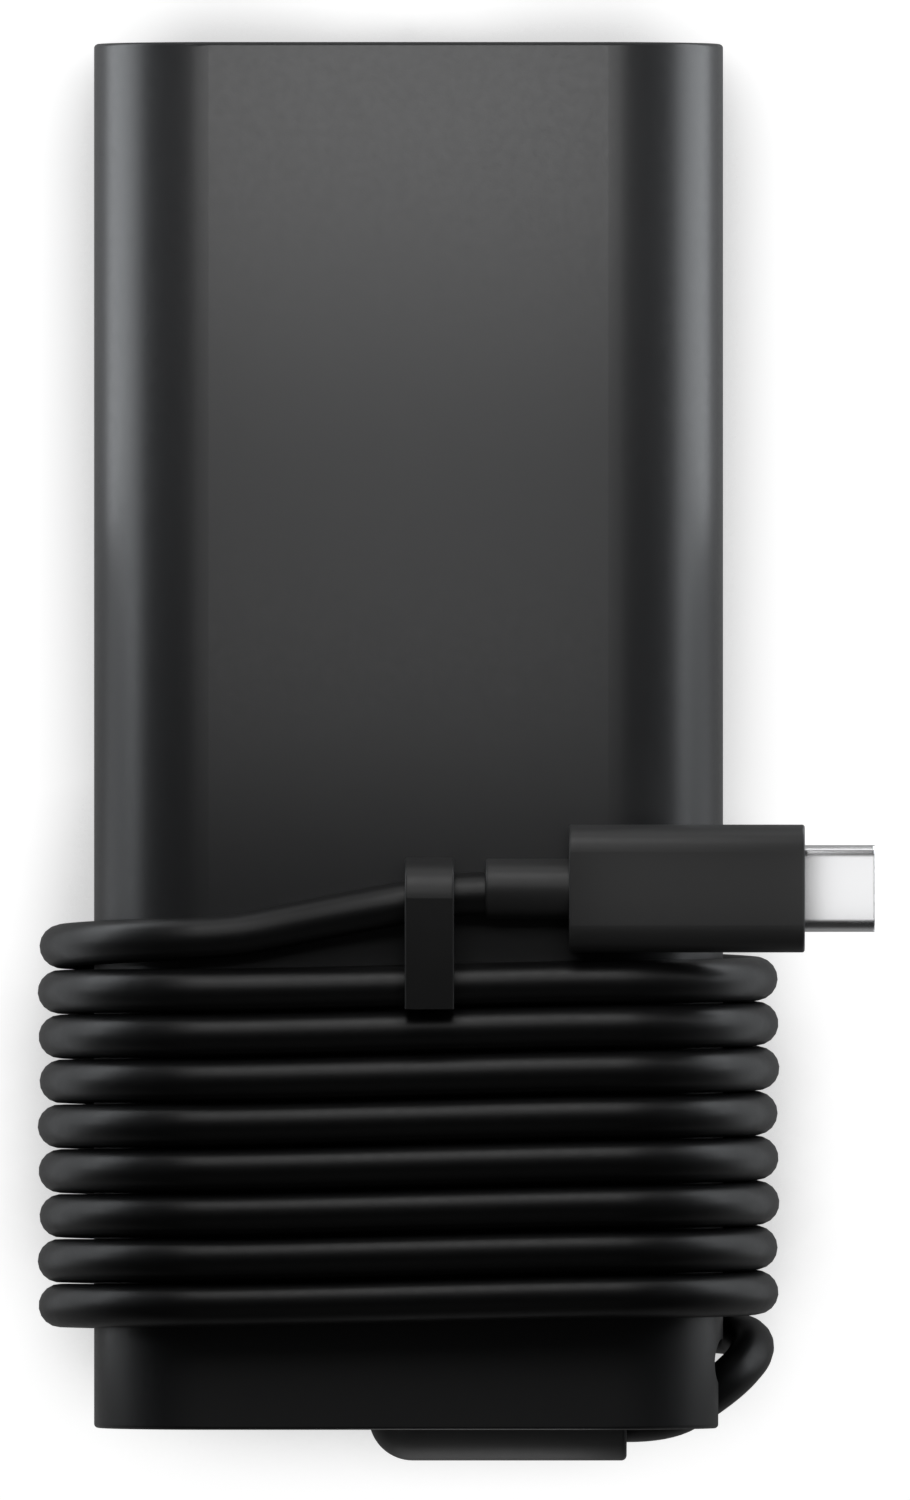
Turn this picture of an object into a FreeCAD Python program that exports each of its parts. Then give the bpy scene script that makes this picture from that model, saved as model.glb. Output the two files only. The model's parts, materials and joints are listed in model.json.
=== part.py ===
# Slim laptop power adapter: a moulded clamshell housing with a three-pin inlet, a right-angle
# strain relief in a trough, and its output lead wound round the housing and held by a clip.
# Frame: millimetres, origin at the centre of the housing, +X across its width, +Y along its
# length towards the inlet, +Z out of its front face. The lead leaves at the -Y end.
import FreeCAD, Part
import math
import os
import re
import Sketcher

V = FreeCAD.Vector
Constraint = Sketcher.Constraint
doc = FreeCAD.newDocument("PowerAdapter")
sizes = doc.addObject("Spreadsheet::Sheet", "Sizes")

# Dimensions in millimetres, angles in degrees. A value that begins with = follows from others.
DIMENSIONS = [
    # Housing
    ("body_long", "132"), ("body_wide", "60"), ("body_thick", "22"), ("wall", "2"),
    ("edge_round", "0.4"), ("seam_chamfer", "0.15"), ("tongue_wide", "0.8"),
    ("tongue_tall", "0.9"), ("tongue_play", "0.1"),
    # Trough and keyhole notch at the cord end
    ("trough_deep", "4.8"), ("trough_wide", "8.4"), ("trough_left", "4.6"), ("end_wall", "1.8"),
    ("notch_wide", "8.3"), ("notch_round", "2.3"), ("notch_in", "6.2"), ("mouth_wide", "6.4"),
    ("notch_reach", "7.5"), ("block_deep", "10.5"), ("mouth_wall", "2.8"),
    # Inlet
    ("inlet_wide", "24"), ("inlet_tall", "16.8"), ("inlet_deep", "19"), ("inlet_round", "2.5"),
    ("inlet_play", "0.05"), ("collar_step", "1.5"), ("collar_thick", "1.6"),
    ("lobe_round", "4.9"), ("pin_gap", "10"), ("earth_rise", "5.5"), ("pin_dia", "2.36"),
    ("pin_inset", "3"), ("socket_deep", "13.5"), ("tail_long", "3.6"), ("tail_wide", "2"),
    ("tail_thick", "0.8"), ("inlet_wire_dia", "1.8"), ("inlet_wire_reach", "2.4"),
    ("inlet_rib_thick", "1.2"), ("collar_rib", "9"), ("collar_tall_step", "0.5"),
    ("inlet_wire_low_bend", "1.4"), ("inlet_wire_high_bend", "2"),
    # Circuit board
    ("board_wide", "=body_wide - body_thick - 2 * board_side_gap"
                   " + 2 * sqrt((body_thick / 2 - wall) ^ 2 - (board_drop + board_thick) ^ 2)"),
    ("board_side_gap", "0.62"), ("board_thick", "1.6"), ("board_drop", "5"), ("board_gap", "1"),
    ("board_long", "=body_long - inlet_deep - board_gap - block_deep - board_foot"),
    ("board_low", "=-body_long / 2 + block_deep + board_foot"), ("board_foot", "0.5"),
    ("rib_thick", "1.2"), ("rib_wide", "4.5"), ("rib_count", "5"),
    ("post_dia", "3.4"), ("post_pin_dia", "1.8"), ("post_play", "0.1"), ("post_in", "4"),
    ("post_end", "2.5"), ("post_pin_proud", "0.6"), ("hold_dia", "2"), ("hold_in", "1.7"),
    ("slot_wide", "1.2"), ("slot_long", "6"), ("rib_inset", "9"), ("cavity_step", "0.6"),
    ("trough_over", "1"), ("mouth_over", "0.5"), ("tongue_inset", "3"),
    # Sheets and heat spreader
    ("sheet_thick", "0.3"), ("spreader_thick", "0.8"), ("liner_low_gap", "5"), ("liner_high_gap", "6.5"),
    ("spreader_long", "=body_long - block_deep - inlet_deep - liner_low_gap - liner_high_gap"
                      " - 2 * sheet_edge"),
    ("spreader_place", "=-body_long / 2 + block_deep + liner_low_gap + sheet_edge + spreader_long / 2"),
    ("wing_low", "5"), ("rear_sheet_gap", "1"), ("sheet_edge", "1.5"), ("pad_side", "10"),
    ("rear_sheet_wide", "=body_wide - body_thick - 2 * rear_sheet_gap"),
    # Gaps between the parts on the board, from its low end up, on the right and then on the left.
    # A longer or shorter board widens or narrows all of them alike.
    ("out_gap", "5"), ("rectifier_clear", "1.5"), ("card_gap", "1"), ("ring_gap", "2"),
    ("limiter_gap", "2.2"), ("absorber_gap", "1.4"), ("board_end_gap", "1.7"), ("rod_gap", "3"),
    ("room", "=(board_long - out_dia - rectifier_thick - card_thick - core_long - 2 * bobbin_foot"
             " - boost_long - 2 * boost_foot - ring_dia - 2 * disc_thick) / (out_gap + rectifier_clear"
             " + card_gap + ring_gap + limiter_gap + absorber_gap + board_end_gap)"),
    ("bulk_gap", "0.3"), ("bridge_gap", "1.9"), ("film_gap", "2.2"), ("fuse_gap", "5"), ("pin_clear", "1.6"),
    ("left_room", "=(board_low + board_long - core_y - core_long / 2 - bobbin_foot - bulk_step - bulk_dia"
                  " - bridge_thick - film_wide - fuse_wide - post_end - post_pin_dia / 2)"
                  " / (bulk_gap + bridge_gap + film_gap + fuse_gap + pin_clear)"),
    # Parts on the board: where each stands along Y and across X, and its size
    ("fuse_long", "8.5"), ("fuse_wide", "4"), ("fuse_tall", "8"), ("fuse_x", "-16"),
    ("fuse_y", "=film_y + film_wide / 2 + left_room * fuse_gap + fuse_wide / 2"),
    ("disc_dia", "9"), ("disc_thick", "3.6"), ("disc_x", "13.5"),
    ("disc_y", "=ring_y + ring_dia / 2 + room * limiter_gap + disc_step + disc_thick / 2"),
    ("disc_step", "=disc_thick + room * absorber_gap"), ("disc_leg", "1"), ("lead_thick", "0.7"),
    ("film_long", "16"), ("film_wide", "8"), ("film_tall", "11.5"), ("film_x", "-13"),
    ("film_y", "=bridge_y + bridge_thick / 2 + left_room * film_gap + film_wide / 2"),
    ("ring_dia", "15"), ("ring_bore", "7"), ("ring_tall", "6"), ("ring_x", "13"),
    ("ring_y", "=boost_y + boost_long / 2 + boost_foot + room * ring_gap + ring_dia / 2"),
    ("ring_base_thick", "1.2"), ("ring_wrap", "0.9"), ("ring_wrap_angle", "120"),
    ("bridge_long", "15"), ("bridge_thick", "3.6"), ("bridge_tall", "10"),
    ("bridge_x", "-13"), ("bridge_y", "=bulk_y + bulk_dia / 2 + left_room * bridge_gap + bridge_thick / 2"),
    ("bulk_dia", "11.6"), ("bulk_long", "24"), ("bulk_x", "-10"),
    ("bulk_y", "=core_y + core_long / 2 + bobbin_foot + left_room * bulk_gap + bulk_dia / 2 + bulk_step"),
    ("bulk_step", "11.9"), ("bead", "0.7"),
    ("boost_long", "20"), ("boost_wide", "16"), ("boost_tall", "11.6"), ("boost_x", "13.5"),
    ("boost_y", "=core_y + core_long / 2 + bobbin_foot + boost_foot + boost_long / 2"),
    ("boost_leg", "2.6"), ("boost_plate", "2.2"),
    ("boost_post_dia", "6"), ("boost_foot", "2"),
    ("core_long", "24"), ("core_wide", "26"), ("core_tall", "12"), ("core_x", "0"),
    ("core_y", "=card_y + card_thick / 2 + room * card_gap + bobbin_foot + core_long / 2"),
    ("core_leg", "4"), ("core_plate", "2.6"), ("post_leg_dia", "9"), ("bobbin_wall", "0.8"),
    ("coil_play", "0.3"), ("bobbin_foot", "3"), ("bobbin_side", "0.4"),
    ("switch_side", "8"), ("switch_thick", "1"), ("switch_x", "19.5"), ("switch_ahead", "9"),
    ("switch_y", "=core_y + switch_ahead"), ("switch_step", "11"),
    ("safety_dia", "8"), ("safety_thick", "4"), ("safety_x", "-19"), ("safety_back", "6.5"),
    ("safety_y", "=core_y - safety_back"),
    ("chip_long", "5"), ("chip_wide", "6"), ("chip_tall", "1.6"), ("chip_x", "-19.5"),
    ("chip_ahead", "10.5"), ("chip_y", "=core_y + chip_ahead"), ("chip_step", "8"),
    ("card_wide", "40"), ("card_tall", "10"), ("card_thick", "1"),
    ("card_y", "=out_y + out_dia / 2 + room * rectifier_clear + rectifier_thick + card_thick / 2"),
    ("rectifier_long", "6"), ("rectifier_tall", "5"), ("rectifier_thick", "1"),
    ("rectifier_gap", "12"),
    ("out_dia", "8"), ("out_tall", "11.4"), ("out_x", "6.5"), ("out_step", "9"),
    ("out_y", "=board_low + room * out_gap + out_dia / 2"),
    ("rod_choke_dia", "7"), ("rod_choke_long", "9"), ("rod_choke_x", "16"),
    ("rod_choke_y", "=card_y - card_thick / 2 - room * rod_gap - rod_choke_dia / 2"),
    ("wire_dia", "1.2"), ("wire_ring", "1.1"), ("wire_reach", "4.4"), ("wire_far_reach", "6.4"),
    ("wire_bend", "1.2"),
    # Right-angle strain relief
    ("boot_wide", "7.6"), ("boot_proud", "3.1"), ("boot_long", "20.8"), ("boot_round", "4.2"),
    ("boot_edge", "2.6"), ("boot_end_edge", "0.5"), ("leg_dia", "6"), ("leg_play", "0.05"),
    ("flange_dia", "8.6"), ("flange_thick", "1.2"), ("boot_left", "3.8"),
    # Winding of the lead
    ("cord_dia", "3.84"), ("turn_pitch", "4.275"), ("turn_count", "8"), ("first_turn", "-20.1"),
    ("cord_stand", "0.3"), ("side_bulge", "1.1"), ("tail_quarter", "0.9"), ("front_rise", "1.2"),
    ("front_run_rise", "0.8"), ("back_run_rise", "1.9"), ("side_wander", "0.2"), ("wander_step", "2.1"),
    # Clip on the free end of the lead
    ("clip_wide", "4.7"), ("clip_x", "2"), ("ring_play", "0.55"), ("ring_top", "3.87"),
    ("ring_back", "0.5"), ("claw_reach", "10.53"), ("claw_under", "1.3"), ("claw_slope", "0.9"),
    ("lip_tip", "0.6"), ("lip_thick", "0.55"), ("lip_root", "1.5"), ("clip_edge", "0.25"),
    # Free end of the lead and its plug
    ("tail_y", "-15.42"), ("tail_z", "14.3"), ("plug_y", "-14.5"),
    ("tail_drop", "-0.5"), ("tail_run", "4.2"), ("lead_run", "9"),
    ("relief_start", "7.3"), ("relief_long", "7.95"), ("relief_dia", "5.7"), ("relief_edge", "0.3"),
    ("grip_long", "22.4"), ("grip_wide", "12.15"), ("grip_thick", "6.5"), ("grip_round", "2.6"),
    ("grip_edge", "0.25"), ("shell_long", "6.65"), ("shell_wide", "8.25"), ("shell_thick", "2.4"),
    ("shell_wall", "0.3"), ("shell_root", "3"), ("shell_round", "1.15"),
    ("insert_mouth_wide", "6.4"), ("insert_mouth_tall", "0.9"), ("insert_mouth_round", "0.2"),
    ("insert_inset", "0.4"), ("insert_mouth_deep", "5.6"), ("contact_count", "6"),
    ("contact_wide", "0.4"), ("contact_step", "0.95"), ("contact_thick", "0.12"),
    ("contact_long", "4.2"), ("plug_board_long", "9"), ("plug_board_wide", "7.4"),
    ("plug_board_thick", "0.8"),
]
for row, (name, value) in enumerate(DIMENSIONS, start=1):
    sizes.set("A%d" % row, name)
    sizes.setAlias("B%d" % row, name)
for row, (name, value) in enumerate(DIMENSIONS, start=1):
    sizes.set("B%d" % row, value)
doc.recompute()

SUBPARTS = []


# Expressions

def bound(text):
    """The same expression with each size named as a cell of the sheet."""
    return re.sub(r"[a-z][a-z_]+", lambda word: "Sizes." + word.group(), text)


def num(text):
    """The value of an expression of the sheet's sizes."""
    return float(sizes.evalExpression(bound(text)))


def tie(thing, prop, text):
    thing.setExpression(prop, bound(text))


# Names for places that several sub-parts share
END = "(body_long / 2)"
SIDE = "(body_wide / 2 - body_thick / 2)"
HALF_THICK = "(body_thick / 2)"
CAVITY = "(body_thick / 2 - wall)"
INLET_FACE = "(body_long / 2 - wall)"
TROUGH_FLOOR = "(-body_long / 2 + trough_deep)"
WALL_BACK = "(-body_long / 2 + trough_deep + end_wall)"
BLOCK_FACE = "(-body_long / 2 + block_deep)"
NOTCH_X = "(body_wide / 2 - notch_reach)"
BOARD_TOP = "(-board_drop)"
BOARD_UNDER = "(-board_drop - board_thick)"
BOARD_LOW_Y = "board_low"
BOARD_HIGH_Y = "(board_low + board_long)"
SHEET_IN = "(body_thick / 2 - wall - sheet_thick)"
SPREADER_IN = "(body_thick / 2 - wall - sheet_thick - spreader_thick)"
BOOT_Y = "(-body_long / 2 - boot_proud + boot_wide / 2)"
CORD_REACH = "(body_thick / 2 + cord_stand + cord_dia / 2)"


# Sub-parts and features

def keep(label, thing):
    """Names an object as a sub-part of the adapter."""
    thing.Label = label
    SUBPARTS.append(thing)
    return thing


def new_body(label):
    return keep(label, doc.addObject("PartDesign::Body", "Body_" + label))


def origin_plane(body, role):
    return [item for item in body.Origin.OriginFeatures if item.Role == role][0]


def sketch_on(body, name, plane, level, along="0", up="0"):
    """A sketch parallel to XY, XZ or YZ at a level on the third axis. Its own origin is moved
    by along and up, which run with the plane's two axes."""
    sketch = body.newObject("Sketcher::SketchObject", name)
    sketch.AttachmentSupport = [(origin_plane(body, plane + "_Plane"), "")]
    sketch.MapMode = "FlatFace"
    sign = "-" if plane == "XZ" else ""
    tie(sketch, "AttachmentOffset.Base.x", along)
    tie(sketch, "AttachmentOffset.Base.y", up)
    tie(sketch, "AttachmentOffset.Base.z", sign + "(" + level + ")")
    return sketch


def constrain(sketch, kind, *args):
    """Adds a constraint. A last argument that is text is its expression."""
    if isinstance(args[-1], str):
        index = sketch.addConstraint(Constraint(kind, *args[:-1], num(args[-1])))
        tie(sketch, "Constraints[%d]" % index, args[-1])
    else:
        sketch.addConstraint(Constraint(kind, *args))


def line(sketch, start, end):
    sketch.addGeometry(Part.LineSegment(V(*start), V(*end)))


def arc(sketch, centre, radius, first, last):
    circle = Part.Circle(V(*centre), V(0, 0, 1), radius)
    sketch.addGeometry(Part.ArcOfCircle(circle, math.radians(first), math.radians(last)))


def draw_half_stadium(sketch, span, radius, side):
    """Half of a stadium: the flat lies on the sketch's x axis and the rest above it, or below
    it where side is -1."""
    s, r = num(span), num(radius)
    line(sketch, (-side * (s + r), 0, 0), (side * (s + r), 0, 0))
    start = 0 if side > 0 else 180
    arc(sketch, (side * s, 0, 0), r, start, start + 90)
    line(sketch, (side * s, side * r, 0), (-side * s, side * r, 0))
    arc(sketch, (-side * s, 0, 0), r, start + 90, start + 180)
    constrain(sketch, "Coincident", 0, 2, 1, 1)
    constrain(sketch, "Tangent", 1, 2, 2, 1)
    constrain(sketch, "Tangent", 2, 2, 3, 1)
    constrain(sketch, "Coincident", 3, 2, 0, 1)
    for shape, point in ((0, 1), (0, 2), (1, 3), (3, 3)):
        constrain(sketch, "PointOnObject", shape, point, -1)
    constrain(sketch, "Equal", 1, 3)
    constrain(sketch, "Radius", 1, radius)
    constrain(sketch, "Distance", 1, 3, -1, 1, span)
    constrain(sketch, "Distance", 3, 3, -1, 1, span)


def draw_rounded(sketch, wide, tall, radius):
    """A rounded rectangle about the sketch's origin."""
    w, h, r = num(wide) / 2, num(tall) / 2, num(radius)
    line(sketch, (-w + r, -h, 0), (w - r, -h, 0))
    arc(sketch, (w - r, -h + r, 0), r, 270, 360)
    line(sketch, (w, -h + r, 0), (w, h - r, 0))
    arc(sketch, (w - r, h - r, 0), r, 0, 90)
    line(sketch, (w - r, h, 0), (-w + r, h, 0))
    arc(sketch, (-w + r, h - r, 0), r, 90, 180)
    line(sketch, (-w, h - r, 0), (-w, -h + r, 0))
    arc(sketch, (-w + r, -h + r, 0), r, 180, 270)
    for index in range(8):
        constrain(sketch, "Tangent", index, 2, (index + 1) % 8, 1)
    for index in (3, 5, 7):
        constrain(sketch, "Equal", 1, index)
    constrain(sketch, "Horizontal", 0)
    constrain(sketch, "Vertical", 2)
    constrain(sketch, "Radius", 1, radius)
    constrain(sketch, "DistanceY", 0, 1, 4, 2, tall)
    constrain(sketch, "DistanceX", 6, 1, 2, 1, wide)
    constrain(sketch, "Symmetric", 1, 3, 5, 3, -1, 1)


def draw_slot(sketch, span, radius):
    """A slot about the sketch's origin, long along its y axis: two half rounds a span apart."""
    s, r = num(span) / 2, num(radius)
    line(sketch, (r, -s, 0), (r, s, 0))
    arc(sketch, (0, s, 0), r, 0, 180)
    line(sketch, (-r, s, 0), (-r, -s, 0))
    arc(sketch, (0, -s, 0), r, 180, 360)
    for index in range(4):
        constrain(sketch, "Tangent", index, 2, (index + 1) % 4, 1)
    constrain(sketch, "Equal", 1, 3)
    constrain(sketch, "Radius", 1, radius)
    constrain(sketch, "Symmetric", 1, 3, 3, 3, -1, 1)
    constrain(sketch, "DistanceY", 3, 3, 1, 3, span)
    constrain(sketch, "Vertical", 0)


def draw_supports(sketch, rectangles, circles=()):
    """Separate rectangles, each by its low corner and its two spans, and separate circles,
    each by its centre and radius."""
    for x, y, wide, tall in rectangles:
        first = sketch.GeometryCount
        low, high = (num(x), num(y)), (num("%s + %s" % (x, wide)), num("%s + %s" % (y, tall)))
        corners = [(low[0], low[1], 0), (high[0], low[1], 0), (high[0], high[1], 0), (low[0], high[1], 0)]
        for index in range(4):
            line(sketch, corners[index], corners[(index + 1) % 4])
        for index in range(4):
            constrain(sketch, "Coincident", first + index, 2, first + (index + 1) % 4, 1)
            constrain(sketch, "Vertical" if index % 2 else "Horizontal", first + index)
        constrain(sketch, "DistanceX", -1, 1, first, 1, x)
        constrain(sketch, "DistanceY", -1, 1, first, 1, y)
        constrain(sketch, "DistanceX", first, 1, first, 2, wide)
        constrain(sketch, "DistanceY", first + 1, 1, first + 1, 2, tall)
    for x, y, radius in circles:
        index = sketch.GeometryCount
        sketch.addGeometry(Part.Circle(V(num(x), num(y), 0), V(0, 0, 1), num(radius)))
        constrain(sketch, "DistanceX", -1, 1, index, 3, x)
        constrain(sketch, "DistanceY", -1, 1, index, 3, y)
        constrain(sketch, "Radius", index, radius)


def slab(body, kind, name, plane, low, high, draw, *args, along="0", up="0"):
    """Extrudes a drawn profile from low to high along the axis square to its plane."""
    sketch = sketch_on(body, name + "Sketch", plane, "((%s) + (%s)) / 2" % (low, high), along, up)
    draw(sketch, *args)
    feature = body.newObject("PartDesign::" + kind, name)
    feature.Profile = sketch
    feature.SideType = "Symmetric"
    feature.Refine = False
    tie(feature, "Length", "(%s) - (%s)" % (high, low))
    return feature


def block(body, kind, name, low, span):
    """Adds or cuts a box by its low corner and its three spans."""
    feature = body.newObject("PartDesign::%sBox" % kind, name)
    feature.AttachmentSupport = [(origin_plane(body, "XY_Plane"), "")]
    feature.MapMode = "FlatFace"
    for prop, text in zip(("x", "y", "z"), low):
        tie(feature, "AttachmentOffset.Base." + prop, text)
    for prop, text in zip(("Length", "Width", "Height"), span):
        tie(feature, prop, text)
    feature.Refine = False
    return feature


TURNS = {"X": FreeCAD.Rotation(V(0, 1, 0), 90), "Y": FreeCAD.Rotation(V(1, 0, 0), -90),
         "Z": FreeCAD.Rotation()}


def rod(body, kind, name, axis, start, radius, length):
    """Adds or cuts a cylinder that runs from start along an axis."""
    feature = body.newObject("PartDesign::%sCylinder" % kind, name)
    feature.AttachmentSupport = [(origin_plane(body, "XY_Plane"), "")]
    feature.MapMode = "FlatFace"
    feature.AttachmentOffset = FreeCAD.Placement(V(0, 0, 0), TURNS[axis])
    for prop, text in zip(("x", "y", "z"), start):
        tie(feature, "AttachmentOffset.Base." + prop, text)
    tie(feature, "Radius", radius)
    tie(feature, "Height", length)
    feature.Refine = False
    return feature


def round_edges(body, name, kind, base, prop, radius, wanted):
    """Fillets or chamfers the edges of a feature that a test picks."""
    doc.recompute()
    edges = ["Edge%d" % (index + 1) for index, edge in enumerate(base.Shape.Edges) if wanted(edge)]
    feature = body.newObject("PartDesign::" + kind, name)
    feature.Base = (base, edges)
    tie(feature, prop, radius)
    return feature


def near(first, second):
    return abs(first - second) < 1e-4


def box(name, low, span):
    """A plain box object by its low corner and its three spans."""
    thing = doc.addObject("Part::Box", name)
    for prop, text in zip(("x", "y", "z"), low):
        tie(thing, "Placement.Base." + prop, text)
    for prop, text in zip(("Length", "Width", "Height"), span):
        tie(thing, prop, text)
    return thing


def standing_box(name, centre, span, foot=BOARD_TOP):
    """A box that stands on a level, centred on a point in plan."""
    low = ("(%s) - (%s) / 2" % (centre[0], span[0]), "(%s) - (%s) / 2" % (centre[1], span[1]), foot)
    return box(name, low, span)


def cylinder(name, axis, start, radius, length):
    thing = doc.addObject("Part::Cylinder", name)
    thing.Placement = FreeCAD.Placement(V(0, 0, 0), TURNS[axis])
    for prop, text in zip(("x", "y", "z"), start):
        tie(thing, "Placement.Base." + prop, text)
    tie(thing, "Radius", radius)
    tie(thing, "Height", length)
    return thing


def cut(name, base, tool):
    thing = doc.addObject("Part::Cut", name)
    thing.Base = base
    thing.Tool = tool
    return thing


def fuse(name, pieces):
    thing = doc.addObject("Part::MultiFuse", name)
    thing.Shapes = pieces
    return thing


def group(label, pieces):
    """Several separate solids that make one sub-part."""
    thing = doc.addObject("Part::Compound", "Group_" + label)
    thing.Links = pieces
    return keep(label, thing)


def feature(label, shape):
    thing = doc.addObject("Part::Feature", "Shape_" + label)
    thing.Shape = shape
    thing.Placement = FreeCAD.Placement()
    return keep(label, thing)


# Housing: two half shells that part along the middle of the thickness

def cover(label, side):
    body = new_body(label)
    outer = slab(body, "Pad", label + "Block", "XZ", "-body_long / 2", "body_long / 2",
                 draw_half_stadium, SIDE, HALF_THICK, side)
    end, half_wide = num(END), num("body_wide / 2")
    rounded = round_edges(
        body, label + "EndRound", "Fillet", outer, "Radius", "edge_round",
        lambda edge: near(edge.BoundBox.YMin, edge.BoundBox.YMax) and edge.CenterOfMass.z * side > 1e-3)
    round_edges(
        body, label + "SeamLine", "Chamfer", rounded, "Size", "seam_chamfer",
        lambda edge: near(abs(edge.CenterOfMass.x), half_wide) and near(edge.CenterOfMass.z, 0)
        and edge.Length > end)
    slab(body, "Pocket", label + "Cavity", "XZ", BLOCK_FACE, INLET_FACE,
         draw_half_stadium, SIDE, CAVITY, side)
    # Beside the pocket of the notch the cavity reaches down to the trough's own wall
    low_tall = "%s - cavity_step" % CAVITY
    block(body, "Subtractive", label + "LowCavity",
          ("-" + SIDE, WALL_BACK, "0" if side > 0 else "-(%s)" % low_tall),
          ("%s + %s - wall" % (SIDE, NOTCH_X), "%s - %s" % (BLOCK_FACE, WALL_BACK), low_tall))
    cut_trough(body, label)
    slab(body, "Pocket", label + "InletHole", "XZ", INLET_FACE, END, draw_rounded,
         "inlet_wide + 2 * inlet_play", "inlet_tall + 2 * inlet_play", "inlet_round")
    # Ribs behind both ends of the inlet's collar
    rib_y = "%s - collar_thick - inlet_rib_thick" % INLET_FACE
    ribs = [("inlet_wide / 2 + inlet_play", rib_y, "collar_rib", "inlet_rib_thick"),
            ("-inlet_wide / 2 - inlet_play - collar_rib", rib_y, "collar_rib", "inlet_rib_thick")]
    low, high = ("0", CAVITY) if side > 0 else ("-" + CAVITY, "0")
    slab(body, "Pad", label + "CollarRibs", "XY", low, high, draw_supports, ribs)
    return body


def cut_trough(body, label):
    """The trough in the cord end, its keyhole notch through the right side and the hole for
    the strain relief's leg."""
    round_x = "-trough_left + trough_wide / 2"
    floor_deep = "trough_deep + trough_over"
    start_y = "-body_long / 2 - trough_over"
    block(body, "Subtractive", label + "Trough", (round_x, start_y, "-trough_wide / 2"),
          ("body_wide / 2 - mouth_wall - (%s)" % round_x, floor_deep, "trough_wide"))
    rod(body, "Subtractive", label + "TroughEnd", "Y", (round_x, start_y, "0"),
        "trough_wide / 2", floor_deep)
    slab(body, "Pocket", label + "Notch", "YZ", NOTCH_X, "body_wide / 2 + trough_over", draw_slot,
         "notch_wide - 2 * notch_round", "notch_round", along="-body_long / 2 + notch_in")
    block(body, "Subtractive", label + "Mouth",
          ("body_wide / 2 - mouth_wall - mouth_over", start_y, "-mouth_wide / 2"),
          ("mouth_wall + mouth_over + trough_over", "notch_in + trough_over", "mouth_wide"))
    rod(body, "Subtractive", label + "LegHole", "Y", ("0", TROUGH_FLOOR, "0"),
        "leg_dia / 2 + leg_play", "end_wall")


def post_places():
    """Where the board is held: two places near each of its ends."""
    return [(hand, y) for hand in (-1, 1)
            for y in ("%s + post_end" % BOARD_LOW_Y, "%s - post_end" % BOARD_HIGH_Y)]


def front_cover():
    body = cover("front_cover", 1)
    grooves = [("%d * (body_wide / 2 - wall / 2) - tongue_wide / 2" % hand,
                "%s + tongue_inset" % BLOCK_FACE, "tongue_wide",
                "%s - %s - 2 * tongue_inset" % (INLET_FACE, BLOCK_FACE)) for hand in (-1, 1)]
    slab(body, "Pocket", "Grooves", "XY", "0", "tongue_tall", draw_supports, grooves)
    holds = [("%d * (board_wide / 2 - hold_in)" % hand, y, "hold_dia / 2") for hand, y in post_places()]
    slab(body, "Pad", "HoldDowns", "XY", BOARD_TOP, CAVITY, draw_supports, (), holds)
    return body


def rear_cover():
    body = cover("rear_cover", -1)
    tongues = [("%d * (body_wide / 2 - wall / 2) - tongue_wide / 2 + tongue_play" % hand,
                "%s + tongue_inset + tongue_play" % BLOCK_FACE, "tongue_wide - 2 * tongue_play",
                "%s - %s - 2 * tongue_inset - 2 * tongue_play" % (INLET_FACE, BLOCK_FACE))
               for hand in (-1, 1)]
    slab(body, "Pad", "Tongues", "XY", "-wall / 2", "tongue_tall - tongue_play", draw_supports, tongues)
    count = int(num("rib_count"))
    step = "(%s - %s - 2 * rib_inset - rib_thick) / (rib_count - 1)" % (BOARD_HIGH_Y, BOARD_LOW_Y)
    ribs = [(x, "%s + rib_inset + %d * %s" % (BOARD_LOW_Y, index, step), "rib_wide", "rib_thick")
            for x in ("board_wide / 2 - rib_wide", "-board_wide / 2") for index in range(count)]
    places = [("%d * (board_wide / 2 - post_in)" % hand, y) for hand, y in post_places()]
    posts = [(x, y, "post_dia / 2") for x, y in places]
    slab(body, "Pad", "BoardSupports", "XY", "-" + CAVITY, BOARD_UNDER, draw_supports, ribs, posts)
    pins = [(x, y, "post_pin_dia / 2") for x, y in places]
    slab(body, "Pad", "PostPins", "XY", BOARD_UNDER, BOARD_TOP + " + post_pin_proud",
         draw_supports, (), pins)
    return body


# Inlet: a three-pin socket that the covers hold by its collar

def lobe_places():
    """The pins' places in x and z: two live pins in a row and the earth pin above them."""
    return (("-pin_gap / 2", "-earth_rise / 2"), ("pin_gap / 2", "-earth_rise / 2"),
            ("0", "earth_rise / 2"))


def ac_inlet_body():
    body = new_body("ac_inlet_body")
    slab(body, "Pad", "InletBlock", "XZ", "%s - inlet_deep" % END, END, draw_rounded,
         "inlet_wide", "inlet_tall", "inlet_round")
    slab(body, "Pad", "InletCollar", "XZ", "%s - collar_thick" % INLET_FACE, INLET_FACE,
         draw_rounded, "inlet_wide + 2 * collar_step", "inlet_tall + 2 * collar_tall_step",
         "inlet_round")
    for index, (x, z) in enumerate(lobe_places()):
        rod(body, "Subtractive", "Lobe%d" % index, "Y", (x, "%s - socket_deep" % END, z),
            "lobe_round", "socket_deep")
    holes = [(x, z, "pin_dia / 2") for x, z in lobe_places()]
    slab(body, "Pocket", "PinHoles", "XZ", "%s - inlet_deep" % END, "%s - socket_deep" % END,
         draw_supports, (), holes)
    block(body, "Subtractive", "LobeMiddle",
          ("-pin_gap / 2", "%s - socket_deep" % END, "-earth_rise / 2 - lobe_round / 2"),
          ("pin_gap", "socket_deep", "earth_rise + lobe_round / 2"))
    return body


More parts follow.
